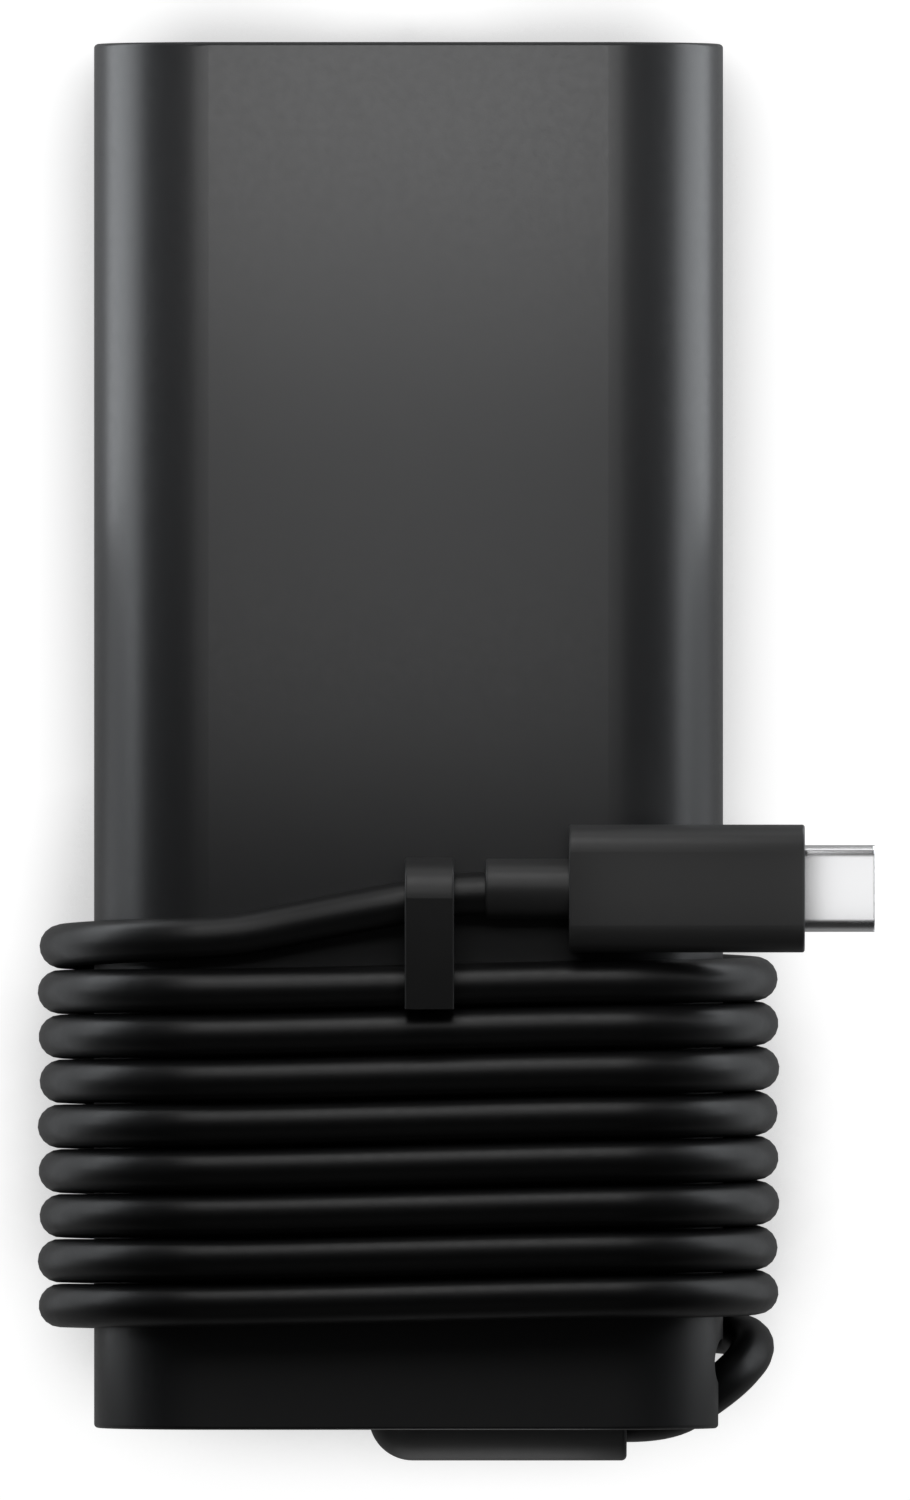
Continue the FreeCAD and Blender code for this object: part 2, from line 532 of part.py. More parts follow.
def inlet_pins():
    pieces = []
    for index, (x, z) in enumerate(lobe_places()):
        shank = cylinder("PinShank%d" % index, "Y", (x, "%s - inlet_deep" % END, z), "pin_dia / 2",
                         "inlet_deep - pin_inset - pin_dia / 2")
        nose = doc.addObject("Part::Sphere", "PinNose%d" % index)
        tie(nose, "Radius", "pin_dia / 2")
        for prop, text in zip(("x", "y", "z"), (x, "%s - pin_inset - pin_dia / 2" % END, z)):
            tie(nose, "Placement.Base." + prop, text)
        tail = box("PinTail%d" % index,
                   ("%s - tail_wide / 2" % x, "%s - inlet_deep - tail_long" % END,
                    "%s - tail_thick / 2" % z), ("tail_wide", "tail_long", "tail_thick"))
        pieces.append(fuse("Pin%d" % index, [shank, nose, tail]))
    return group("inlet_pins", pieces)


# Tubes along a path of straight runs and tangent arcs

def unit(vector):
    return V(vector).normalize()


def rounded_path(points, radii=None):
    """Edges of straight runs joined by tangent arcs. Without given radii, each arc is as large
    as its two runs allow. Returns the edges and the radii."""
    share = 0.45
    edges, used = [], []
    place = points[0]
    for index in range(1, len(points) - 1):
        corner = points[index]
        before = unit(corner - points[index - 1])
        after = unit(points[index + 1] - corner)
        turn = before.getAngle(after)
        shorter = min((corner - points[index - 1]).Length, (points[index + 1] - corner).Length)
        radius = radii[index - 1] if radii else share * shorter / math.tan(turn / 2)
        back = radius * math.tan(turn / 2)
        first, last = corner - before * back, corner + after * back
        centre = first + unit((after - before * before.dot(after))) * radius
        middle = centre + unit(corner - centre) * radius
        edges.append(Part.LineSegment(place, first).toShape())
        edges.append(Part.Arc(first, middle, last).toShape())
        used.append(radius)
        place = last
    edges.append(Part.LineSegment(place, points[-1]).toShape())
    return edges, used


def tube(edges, diameter):
    """A round bar along edges that join end to end with one tangent."""
    start = edges[0].valueAt(edges[0].FirstParameter)
    heading = edges[0].tangentAt(edges[0].FirstParameter)
    ring = Part.Wire(Part.Circle(start, heading, diameter / 2).toShape())
    shell = Part.BRepOffsetAPI.MakePipeShell(Part.Wire(edges))
    shell.add(ring)
    shell.build()
    shell.makeSolid()
    return shell.shape()


def inlet_wires():
    radius_low, radius_high = num("inlet_wire_low_bend"), num("inlet_wire_high_bend")
    pieces = []
    for x, z in lobe_places():
        start = V(num(x), num("%s - inlet_deep - tail_long" % END), num(z))
        corner = start - V(0, num("inlet_wire_reach"), 0)
        foot = V(corner.x, corner.y, num(BOARD_TOP))
        radius = radius_high if start.z > 0 else radius_low
        edges, _ = rounded_path([start, corner, foot], [radius])
        pieces.append(tube(edges, num("inlet_wire_dia")))
    return feature("inlet_wires", Part.makeCompound(pieces))


def output_wires():
    pieces = []
    ring = num("wire_ring")
    for side in (-1, 1):
        for level in (-1, 1):
            start = V(side * ring, num("%s + flange_thick" % WALL_BACK), level * ring)
            corner = start + V(0, num("wire_reach" if level < 0 else "wire_far_reach"), 0)
            foot = V(corner.x, corner.y, num(BOARD_TOP))
            edges, _ = rounded_path([start, corner, foot], [num("wire_bend")])
            pieces.append(tube(edges, num("wire_dia")))
    return feature("output_wires", Part.makeCompound(pieces))


# Circuit board and what stands on it

def main_board():
    body = new_body("main_board")
    block(body, "Additive", "BoardBlank", ("-board_wide / 2", BOARD_LOW_Y, BOARD_UNDER),
          ("board_wide", "%s - %s" % (BOARD_HIGH_Y, BOARD_LOW_Y), "board_thick"))
    holes = [("%d * (board_wide / 2 - post_in)" % hand, y, "post_pin_dia / 2 + post_play")
             for hand, y in post_places()]
    slab(body, "Pocket", "PostHoles", "XY", BOARD_UNDER, BOARD_TOP, draw_supports, (), holes)
    block(body, "Subtractive", "IsolationSlot", ("core_wide / 2", "core_y - slot_wide / 2", BOARD_UNDER),
          ("slot_long", "slot_wide", "board_thick"))
    return body


def disc(label, axis, x, y, diameter, thick, leg):
    """A coated disc that stands on edge on its two legs."""
    centre_z = "%s + %s + %s / 2" % (BOARD_TOP, leg, diameter)
    if axis == "Y":
        start = (x, "%s - %s / 2" % (y, thick), centre_z)
        feet = [("%s + %d * %s / 4" % (x, hand, diameter), y) for hand in (-1, 1)]
    else:
        start = ("%s - %s / 2" % (x, thick), y, centre_z)
        feet = [(x, "%s + %d * %s / 4" % (y, hand, diameter)) for hand in (-1, 1)]
    pieces = [cylinder(label + "Disc", axis, start, "%s / 2" % diameter, thick)]
    for index, foot in enumerate(feet):
        pieces.append(standing_box(label + "Leg%d" % index, foot, ("lead_thick", "lead_thick",
                                                                    "%s + %s / 4" % (leg, diameter))))
    return keep(label, fuse(label + "Whole", pieces))


def input_choke():
    """A ring core on a base, with two windings that wrap a third of the ring each."""
    x, y = "ring_x", "ring_y"
    keep("choke_base", standing_box("ChokeBase", (x, y), ("ring_dia", "ring_dia", "ring_base_thick")))
    low = "%s + ring_base_thick + ring_wrap" % BOARD_TOP
    keep("choke_core", cut("ChokeCore", cylinder("RingOuter", "Z", (x, y, low), "ring_dia / 2", "ring_tall"),
                           cylinder("RingInner", "Z", (x, y, low), "ring_bore / 2", "ring_tall")))
    wrap, height = num("ring_wrap"), num("ring_tall")
    inner, outer, foot = num("ring_bore / 2"), num("ring_dia / 2"), num(low)
    angle = num("ring_wrap_angle")
    centre = V(num(x), num(y), 0)
    sleeves = []
    for start in (0, 180):
        faces = []
        for extra in (wrap, 0):
            corners = [V(inner - extra, 0, foot - extra), V(outer + extra, 0, foot - extra),
                       V(outer + extra, 0, foot + height + extra), V(inner - extra, 0, foot + height + extra)]
            faces.append(Part.Face(Part.makePolygon(corners + corners[:1])))
        section = faces[0].cut(faces[1])
        section.rotate(V(0, 0, 0), V(0, 0, 1), start - angle / 2)
        section.translate(centre)
        sleeves.append(section.revolve(centre, V(0, 0, 1), angle).Solids[0])
    feature("choke_windings", Part.makeCompound(sleeves))


def wound_core(prefix, x, y, long, wide, tall, leg, plate, post, foot):
    """Two core halves round a bobbin and its winding: the core's legs stand at both sides and
    the bobbin's feet before and behind it."""
    half = "%s / 2" % tall
    halves = []
    for name, base, plate_z in (("Lower", BOARD_TOP, BOARD_TOP),
                                ("Upper", "%s + %s" % (BOARD_TOP, half),
                                 "%s + %s - %s" % (BOARD_TOP, tall, plate))):
        full = [standing_box(prefix + name + "Plate", (x, y), (wide, long, plate), plate_z)]
        for hand in (-1, 1):
            full.append(standing_box(prefix + name + "Leg%d" % (hand + 1),
                                     ("%s + %d * (%s - %s) / 2" % (x, hand, wide, leg), y),
                                     (leg, long, half), base))
        full.append(cylinder(prefix + name + "Post", "Z", (x, y, base), "%s / 2" % post, half))
        halves.append(fuse(prefix + name, full))
    group(prefix + "_core", halves)
    low = "%s + %s" % (BOARD_TOP, plate)
    window = "(%s - 2 * %s)" % (tall, plate)
    flange = "(%s / 2 - %s - coil_play)" % (wide, leg)
    spool = [cylinder(prefix + "Tube", "Z", (x, y, low), "%s / 2 + bobbin_wall" % post, window),
             cylinder(prefix + "FlangeLow", "Z", (x, y, low), flange, "bobbin_wall"),
             cylinder(prefix + "FlangeHigh", "Z", (x, y, "%s + %s - bobbin_wall" % (low, window)),
                      flange, "bobbin_wall"),
             standing_box(prefix + "Bridge", (x, y), ("%s - 2 * %s - 2 * bobbin_side" % (wide, leg),
                                                      "%s + 2 * %s" % (long, foot), "bobbin_wall"), low)]
    for hand in (-1, 1):
        spool.append(standing_box(prefix + "Foot%d" % (hand + 1),
                                  (x, "%s + %d * (%s + %s) / 2" % (y, hand, long, foot)),
                                  ("%s - 2 * %s - 2 * bobbin_side" % (wide, leg), foot,
                                   "%s + bobbin_wall" % plate)))
    hole = cylinder(prefix + "TubeBore", "Z", (x, y, low), "%s / 2" % post, window)
    keep(prefix + "_bobbin", cut(prefix + "Bobbin", fuse(prefix + "Spool", spool), hole))
    coil_low = "%s + bobbin_wall" % low
    coil_tall = "%s - 2 * bobbin_wall" % window
    keep(prefix + "_winding",
         cut(prefix + "Winding",
             cylinder(prefix + "CoilOuter", "Z", (x, y, coil_low), flange + " - bobbin_wall / 2", coil_tall),
             cylinder(prefix + "CoilInner", "Z", (x, y, coil_low), "%s / 2 + bobbin_wall" % post, coil_tall)))


def lying_cans():
    cans = []
    for index in range(2):
        y = "bulk_y - %d * bulk_step" % index
        z = "%s + bulk_dia / 2" % BOARD_TOP
        body = cylinder("BulkCan%d" % index, "X", ("bulk_x - bulk_long / 2", y, z), "bulk_dia / 2",
                        "bulk_long")
        cans.append(cut("BulkCut%d" % index, body,
                        bead_ring("BulkBead%d" % index, "X", ("bulk_x + bulk_long / 2 - 3 * bead", y, z),
                                  "bulk_dia / 2")))
    return group("bulk_capacitors", cans)


def standing_cans():
    cans = []
    for index, x in enumerate(("-out_x - out_step", "-out_x", "out_x")):
        body = cylinder("OutCan%d" % index, "Z", (x, "out_y", BOARD_TOP), "out_dia / 2", "out_tall")
        cans.append(cut("OutCut%d" % index, body,
                        bead_ring("OutBead%d" % index, "Z", (x, "out_y", "%s + 2 * bead" % BOARD_TOP),
                                  "out_dia / 2")))
    return group("output_capacitors", cans)


def bead_ring(name, axis, place, radius):
    """The ring that rolls a groove into a capacitor's can."""
    ring = doc.addObject("Part::Torus", name)
    ring.Placement = FreeCAD.Placement(V(0, 0, 0), TURNS[axis])
    for prop, text in zip(("x", "y", "z"), place):
        tie(ring, "Placement.Base." + prop, text)
    tie(ring, "Radius1", "%s + bead / 3" % radius)
    tie(ring, "Radius2", "bead")
    return ring


def small_parts():
    keep("mains_fuse", standing_box("Fuse", ("fuse_x", "fuse_y"),
                                    ("fuse_long", "fuse_wide", "fuse_tall")))
    disc("surge_absorber", "Y", "disc_x", "disc_y", "disc_dia", "disc_thick", "disc_leg")
    disc("inrush_limiter", "Y", "disc_x", "(disc_y - disc_step)", "disc_dia", "disc_thick", "disc_leg")
    keep("film_capacitor", standing_box("Film", ("film_x", "film_y"),
                                        ("film_long", "film_wide", "film_tall")))
    keep("bridge_rectifier", standing_box("Bridge", ("bridge_x", "bridge_y"),
                                          ("bridge_long", "bridge_thick", "bridge_tall")))
    disc("safety_capacitor", "X", "safety_x", "safety_y", "safety_dia", "safety_thick", "disc_leg")
    switch_places = [("switch_x", "switch_y - %d * switch_step" % index) for index in range(2)]
    group("power_switches", [standing_box("Switch%d" % index, place,
                                          ("switch_side", "switch_side", "switch_thick"))
                             for index, place in enumerate(switch_places)])
    chip_places = [("chip_x", "chip_y - %d * chip_step" % index) for index in range(2)]
    group("control_chips", [standing_box("Chip%d" % index, place, ("chip_long", "chip_wide", "chip_tall"))
                            for index, place in enumerate(chip_places)])
    keep("output_card", standing_box("Card", ("0", "card_y"), ("card_wide", "card_thick", "card_tall")))
    group("output_rectifiers",
          [standing_box("Rectifier%d" % hand, ("%d * rectifier_gap / 2" % hand,
                                               "card_y - card_thick / 2 - rectifier_thick / 2"),
                        ("rectifier_long", "rectifier_thick", "rectifier_tall"),
                        "%s + (card_tall - rectifier_tall) / 2" % BOARD_TOP) for hand in (-1, 1)])
    keep("output_choke", cylinder("RodChoke", "X", ("rod_choke_x - rod_choke_long / 2", "rod_choke_y",
                                                    "%s + rod_choke_dia / 2" % BOARD_TOP),
                                  "rod_choke_dia / 2", "rod_choke_long"))


# Sheets and heat spreader

def liner(label, outer, inner, spare):
    """A sheet that lies against the inside of the front cover and bends down its sides."""
    body = new_body(label)
    low = "spreader_place - spreader_long / 2 - %s" % spare
    high = "spreader_place + spreader_long / 2 + %s" % spare
    slab(body, "Pad", label + "Outer", "XZ", low, high, draw_half_stadium, SIDE, outer, 1)
    slab(body, "Pocket", label + "Inner", "XZ", low, high, draw_half_stadium, SIDE, inner, 1)
    block(body, "Subtractive", label + "Trim", ("-body_wide / 2", low, "0"),
          ("body_wide", "(%s) - (%s)" % (high, low), "wing_low - %s" % spare))
    return body


def sheets():
    liner("insulating_sheet", CAVITY, SHEET_IN, "sheet_edge")
    liner("heat_spreader", SHEET_IN, SPREADER_IN, "0")
    keep("rear_sheet", box("RearSheet", ("-rear_sheet_wide / 2", "spreader_place - spreader_long / 2",
                                         "-" + CAVITY), ("rear_sheet_wide", "spreader_long", "sheet_thick")))
    pads = []
    for name, x, y, tall in (("Core", "core_x", "core_y", "core_tall"),
                             ("Boost", "boost_x", "boost_y", "boost_tall")):
        top = "(%s + %s)" % (BOARD_TOP, tall)
        pads.append(box("Pad" + name, ("%s - pad_side / 2" % x, "%s - pad_side / 2" % y, top),
                        ("pad_side", "pad_side", "%s - %s" % (SPREADER_IN, top))))
    group("thermal_pads", pads)


# Right-angle strain relief in the trough

def cord_elbow():
    body = new_body("cord_elbow")
    sketch = sketch_on(body, "BootPlan", "XY", "0", along="-boot_left", up="%s - boot_wide / 2" % BOOT_Y)
    wide, tall, r = num("boot_long + boot_left"), num("boot_wide"), num("boot_round")
    line(sketch, (r, 0, 0), (wide, 0, 0))
    line(sketch, (wide, 0, 0), (wide, tall, 0))
    line(sketch, (wide, tall, 0), (0, tall, 0))
    line(sketch, (0, tall, 0), (0, r, 0))
    arc(sketch, (r, r, 0), r, 180, 270)
    for first, second in ((0, 1), (1, 2), (2, 3)):
        constrain(sketch, "Coincident", first, 2, second, 1)
    constrain(sketch, "Tangent", 3, 2, 4, 1)
    constrain(sketch, "Tangent", 4, 2, 0, 1)
    constrain(sketch, "Horizontal", 0)
    constrain(sketch, "Vertical", 1)
    constrain(sketch, "Horizontal", 2)
    constrain(sketch, "PointOnObject", 0, 1, -1)
    constrain(sketch, "PointOnObject", 3, 1, -2)
    constrain(sketch, "Radius", 4, "boot_round")
    constrain(sketch, "DistanceX", -1, 1, 0, 2, "boot_long + boot_left")
    constrain(sketch, "DistanceY", -1, 1, 1, 2, "boot_wide")
    bar = body.newObject("PartDesign::Pad", "BootBar")
    bar.Profile = sketch
    bar.SideType = "Symmetric"
    tie(bar, "Length", "boot_wide")
    right, half = num("boot_long"), num("boot_wide / 2")
    soft = round_edges(body, "BootSides", "Fillet", bar, "Radius", "boot_edge",
                       lambda edge: near(abs(edge.CenterOfMass.z), half)
                       and not near(edge.CenterOfMass.x, right))
    round_edges(body, "BootFace", "Fillet", soft, "Radius", "boot_end_edge",
                lambda edge: near(edge.BoundBox.XMin, right) and near(edge.BoundBox.XMax, right))
    rod(body, "Additive", "BootLeg", "Y", ("0", BOOT_Y, "0"), "leg_dia / 2", "%s - %s" % (WALL_BACK, BOOT_Y))
    rod(body, "Additive", "BootFlange", "Y", ("0", WALL_BACK, "0"), "flange_dia / 2", "flange_thick")
    return body


# Lead: from the strain relief through the notch, round the housing and to the plug

LEAD_POINTS = [V(24.6, -65.3, 0), V(28.2, -63.2, -0.3), V(31.2, -60.9, -1.4),
               V(32.9, -58.9, -4.5), V(32.8, -57.6, -8.4), V(30.2, -56.9, -11.8)]
TAIL_POINTS = [V(-6.6, -16.9, 13.8), V(-1.2, -16.0, 14.3), V(4.2, -15.0, 14.3)]
TAIL_SLOPE = 0.12


def biarc(start, start_way, end, end_way):
    """Two arcs, tangent to each other, from one point and direction to another."""
    reach = end - start
    ways = start_way + end_way
    square = 2 * (1 - start_way.dot(end_way))
    linear = 2 * reach.dot(ways)
    constant = -reach.dot(reach)
    share = (-linear + math.sqrt(linear * linear - 4 * square * constant)) / (2 * square)
    first, second = start + start_way * share, end - end_way * share
    joint = (first + second) * 0.5
    joint_way = unit(second - first)
    return [arc_edge(start, start_way, joint), arc_edge(joint, joint_way, end)]


def arc_edge(start, way, end):
    """The arc that leaves start along way and ends at end."""
    chord = end - start
    side = unit(chord.cross(way).cross(chord))
    half_turn = way.getAngle(chord)
    middle = start + chord * 0.5 + side * (chord.Length / 2 * math.tan(half_turn / 2))
    return Part.Arc(start, middle, end).toShape()


def winding_path():
    """Edges of the wound lead from its start on the back face to its end on the front face."""
    pitch, reach, span = num("turn_pitch"), num(CORD_REACH), num("%s + side_bulge" % SIDE)
    front_rise, front_run, back_run = num("front_rise"), num("front_run_rise"), num("back_run_rise")
    back_quarter = (pitch - front_rise - back_run) / 2
    front_quarter = (front_rise - front_run) / 2
    cap_slope = (back_quarter + front_quarter) / (math.pi * reach)
    back_way = unit(V(-2 * span, back_run, 0))
    front_way = unit(V(2 * span, front_run, 0))
    turns = int(num("turn_count"))
    wander, step = num("side_wander"), num("wander_step")
    edges = []
    start = None
    for turn in range(turns + 1):
        left_y = num("first_turn") - (turns - turn) * pitch
        back_left = V(-span, left_y - back_quarter, -reach)
        back_right = back_left - V(-2 * span, back_run, 0)
        if turn == 0:
            start = back_right + back_way * num("cord_dia")
            back_right = start
        edges.append(Part.LineSegment(back_right, back_left).toShape())
        left_cap = V(-span - reach + wander * math.sin(turn * step), left_y, 0)
        last = turn == turns
        front_left = V(-span, left_y + (num("tail_quarter") if last else front_quarter), reach)
        way = unit(V(1, TAIL_SLOPE, 0)) if last else front_way
        edges += biarc(back_left, back_way, left_cap, unit(V(0, cap_slope, 1)))
        edges += biarc(left_cap, unit(V(0, cap_slope, 1)), front_left, way)
        if last:
            finish = front_left + way * num("cord_dia")
            edges.append(Part.LineSegment(front_left, finish).toShape())
            break
        front_right = front_left + V(2 * span, front_run, 0)
        edges.append(Part.LineSegment(front_left, front_right).toShape())
        right_cap = V(span + reach - wander * math.sin(turn * step + 1), left_y + front_rise, 0)
        next_back = V(span, right_cap.y + back_quarter, -reach)
        edges += biarc(front_right, front_way, right_cap, unit(V(0, cap_slope, -1)))
        edges += biarc(right_cap, unit(V(0, cap_slope, -1)), next_back, back_way)
    return edges, start, back_way, finish, way


def least_gap(edges, diameter, turn_length):
    """The least gap of the tube to its neighbouring turns, measured on points a step apart."""
    points, marks = [], []
    travelled = 0
    for edge in edges:
        count = max(2, int(edge.Length))
        for index, point in enumerate(edge.discretize(count + 1)[:-1]):
            points.append(point)
            marks.append(travelled + edge.Length * index / count)
        travelled += edge.Length
    least = float("inf")
    for index, point in enumerate(points):
        for other in range(index + 1, len(points)):
            along = marks[other] - marks[index]
            if along > 1.5 * turn_length:
                break
            if along > turn_length / 2:
                least = min(least, (points[other] - point).Length)
    return least - diameter


def check_tube(label, shape, edges, radii=()):
    """Prints a tube's length and radii and compares its volume with its section's."""
    length = sum(edge.Length for edge in edges)
    share = shape.Volume / (math.pi * num("cord_dia") ** 2 / 4 * length)
    words = " ".join("%.1f" % radius for radius in radii)
    print("%s: length %.1f, volume share %.4f, radii %s" % (label, length, share, words))
    return length


def lead():
    """The three stretches of the lead. The winding is worked out from its pitch; the two free
    stretches follow points chosen along the real route."""
    diameter = num("cord_dia")
    edges, start, start_way, finish, finish_way = winding_path()
    exit_point = V(num("boot_long"), num(BOOT_Y), 0)
    run_up = start - start_way * num("lead_run")
    lead_edges, lead_radii = rounded_path([exit_point] + LEAD_POINTS + [run_up, start])
    run_out = finish + finish_way * num("tail_run")
    plug_point = V(num("relief_start"), num("plug_y + tail_drop"), num("tail_z"))
    tail_edges, tail_radii = rounded_path([finish, run_out] + TAIL_POINTS + [plug_point])
    total = 0
    for label, path, radii in (("cord_lead", lead_edges, lead_radii), ("cord_winding", edges, ()),
                               ("cord_tail", tail_edges, tail_radii)):
        shape = tube(path, diameter)
        feature(label, shape)
        total += check_tube(label, shape, path, radii)
    turn_length = (sum(edge.Length for edge in edges)) / (num("turn_count") + 0.5)
    print("lead's whole length %.1f, a turn %.1f" % (total, turn_length))
    print("winding's least gap to itself %.3f" % least_gap(edges, diameter, turn_length))


# Clip: a ring on the lead with a claw that hooks over a turn of the winding

def cord_clip():
    body = new_body("cord_clip")
    sketch = sketch_on(body, "ClipOutline", "YZ", "clip_x", along="tail_y", up="tail_z")
    outer, inner = num("ring_top"), num("cord_dia / 2 + ring_play + ring_back")
    under, reach = num("claw_under"), num("claw_reach")
    lean = math.degrees(math.acos(inner / outer))
    meet = math.degrees(math.asin(under / inner))
    tangent = (inner * math.cos(math.radians(lean)), -inner * math.sin(math.radians(lean)), 0)
    root = (-inner * math.cos(math.radians(meet)), under, 0)
    tip, thick, lip_root = num("lip_tip"), num("lip_thick"), num("lip_root")
    face_end = outer - num("claw_slope")
    arc(sketch, (0, 0, 0), outer, 0, 90)
    line(sketch, (0, outer, 0), (-reach, face_end, 0))
    line(sketch, (-reach, face_end, 0), (-reach, tip, 0))
    line(sketch, (-reach, tip, 0), (-reach + thick, tip, 0))
    line(sketch, (-reach + thick, tip, 0), (-reach + lip_root, under, 0))
    line(sketch, (-reach + lip_root, under, 0), root)
    arc(sketch, (0, 0, 0), inner, 180 - meet, 360 - lean)
    line(sketch, tangent, (outer, 0, 0))
    for first, start, second, end in ((0, 2, 1, 1), (1, 2, 2, 1), (2, 2, 3, 1), (3, 2, 4, 1),
                                      (4, 2, 5, 1), (5, 2, 6, 1), (7, 2, 0, 1)):
        constrain(sketch, "Coincident", first, start, second, end)
    constrain(sketch, "Tangent", 6, 2, 7, 1)
    constrain(sketch, "Coincident", 0, 3, -1, 1)
    constrain(sketch, "Coincident", 6, 3, -1, 1)
    constrain(sketch, "PointOnObject", 0, 1, -1)
    constrain(sketch, "PointOnObject", 0, 2, -2)
    constrain(sketch, "Radius", 0, "ring_top")
    constrain(sketch, "Radius", 6, "cord_dia / 2 + ring_play + ring_back")
    constrain(sketch, "DistanceX", -1, 1, 2, 1, "-claw_reach")
    constrain(sketch, "DistanceY", -1, 1, 2, 1, "ring_top - claw_slope")
    constrain(sketch, "Vertical", 2)
    constrain(sketch, "Horizontal", 3)
    constrain(sketch, "DistanceY", -1, 1, 3, 1, "lip_tip")
    constrain(sketch, "DistanceX", 3, 1, 3, 2, "lip_thick")
    constrain(sketch, "DistanceX", -1, 1, 4, 2, "lip_root - claw_reach")
    constrain(sketch, "DistanceY", -1, 1, 4, 2, "claw_under")
    constrain(sketch, "Horizontal", 5)
    pad = body.newObject("PartDesign::Pad", "ClipPad")
    pad.Profile = sketch
    pad.SideType = "Symmetric"
    tie(pad, "Length", "clip_wide")
    middle_x, half = num("clip_x"), num("clip_wide / 2")
    crest = num("tail_z + ring_top - claw_slope")
    round_edges(body, "ClipEdges", "Fillet", pad, "Radius", "clip_edge",
                lambda edge: near(abs(edge.CenterOfMass.x - middle_x), half)
                and edge.CenterOfMass.z > crest - num("claw_slope"))
    rod(body, "Subtractive", "ClipBore", "X", ("clip_x - clip_wide / 2", "tail_y", "tail_z"),
        "cord_dia / 2 + ring_play", "clip_wide")
    return body


# Plug on the lead's end

def plug():
    relief = new_body("plug_strain_relief")
    bar = rod(relief, "Additive", "Relief", "X", ("relief_start", "plug_y", "tail_z"),
              "relief_dia / 2", "relief_long")
    start = num("relief_start")
    round_edges(relief, "ReliefEdge", "Fillet", bar, "Radius", "relief_edge",
                lambda edge: near(edge.BoundBox.XMax, start))

    grip = new_body("plug_overmould")
    low, high = "relief_start + relief_long", "relief_start + relief_long + grip_long"
    block_pad = slab(grip, "Pad", "Grip", "YZ", low, high, draw_rounded, "grip_wide", "grip_thick",
                     "grip_round", along="plug_y", up="tail_z")
    ends = (num(low), num(high))
    round_edges(grip, "GripEdges", "Fillet", block_pad, "Radius", "grip_edge",
                lambda edge: near(edge.BoundBox.XMin, edge.BoundBox.XMax)
                and min(abs(edge.BoundBox.XMin - end) for end in ends) < 1e-4)
    slab(grip, "Pocket", "ShellSeat", "YZ", high + " - shell_root", high, draw_rounded,
         "shell_wide", "shell_thick", "shell_round", along="plug_y", up="tail_z")
    board_low = ("%s - shell_root - plug_board_long" % high, "plug_y - plug_board_wide / 2",
                 "tail_z - plug_board_thick / 2")
    board_span = ("plug_board_long", "plug_board_wide", "plug_board_thick")
    block(grip, "Subtractive", "BoardSeat", board_low, board_span)
    keep("plug_board", box("PlugBoard", board_low, board_span))

    shell = new_body("plug_shell")
    shell_low, shell_high = high + " - shell_root", high + " + shell_long"
    slab(shell, "Pad", "ShellOuter", "YZ", shell_low, shell_high, draw_rounded,
         "shell_wide", "shell_thick", "shell_round", along="plug_y", up="tail_z")
    slab(shell, "Pocket", "ShellInner", "YZ", shell_low, shell_high, draw_rounded,
         "shell_wide - 2 * shell_wall", "shell_thick - 2 * shell_wall", "shell_round - shell_wall",
         along="plug_y", up="tail_z")

    insert = new_body("plug_insert")
    insert_high = shell_high + " - insert_inset"
    slab(insert, "Pad", "InsertOuter", "YZ", shell_low, insert_high, draw_rounded,
         "shell_wide - 2 * shell_wall", "shell_thick - 2 * shell_wall", "shell_round - shell_wall",
         along="plug_y", up="tail_z")
    slab(insert, "Pocket", "InsertMouth", "YZ", insert_high + " - insert_mouth_deep", insert_high,
         draw_rounded, "insert_mouth_wide", "insert_mouth_tall", "insert_mouth_round",
         along="plug_y", up="tail_z")
    strips = []
    for index in range(int(num("contact_count"))):
        y = "plug_y + (%d - (contact_count - 1) / 2) * contact_step - contact_wide / 2" % index
        for hand in (-1, 1):
            z = ("tail_z + insert_mouth_tall / 2 - contact_thick" if hand > 0
                 else "tail_z - insert_mouth_tall / 2")
            strips.append(box("Contact%d%d" % (hand + 1, index),
                              (insert_high + " - insert_mouth_deep", y, z),
                              ("contact_long", "contact_wide", "contact_thick")))
    group("plug_contacts", strips)


def check_and_write():
    """Every object has to be sound before any file is written."""
    doc.recompute()
    for thing in doc.Objects:
        if any(word in thing.State for word in ("Invalid", "Error")):
            raise RuntimeError("%s failed: %s" % (thing.Name, thing.State))
    for thing in SUBPARTS:
        if thing.Shape.isNull() or not thing.Shape.isValid() or not thing.Shape.Solids:
            raise RuntimeError("%s has no sound shape" % thing.Label)
    os.makedirs("parts", exist_ok=True)
    for thing in SUBPARTS:
        thing.Shape.exportStep("parts/%s.step" % thing.Label)
        print("%s: %d solid(s), %.1f mm3" % (thing.Label, len(thing.Shape.Solids), thing.Shape.Volume))


def main():
    front_cover()
    rear_cover()
    ac_inlet_body()
    inlet_pins()
    inlet_wires()
    main_board()
    input_choke()
    small_parts()
    wound_core("transformer", "core_x", "core_y", "core_long", "core_wide", "core_tall", "core_leg",
               "core_plate", "post_leg_dia", "bobbin_foot")
    wound_core("boost_choke", "boost_x", "boost_y", "boost_long", "boost_wide", "boost_tall",
               "boost_leg", "boost_plate", "boost_post_dia", "boost_foot")
    lying_cans()
    standing_cans()
    output_wires()
    sheets()
    cord_elbow()
    lead()
    cord_clip()
    plug()
    check_and_write()


main()
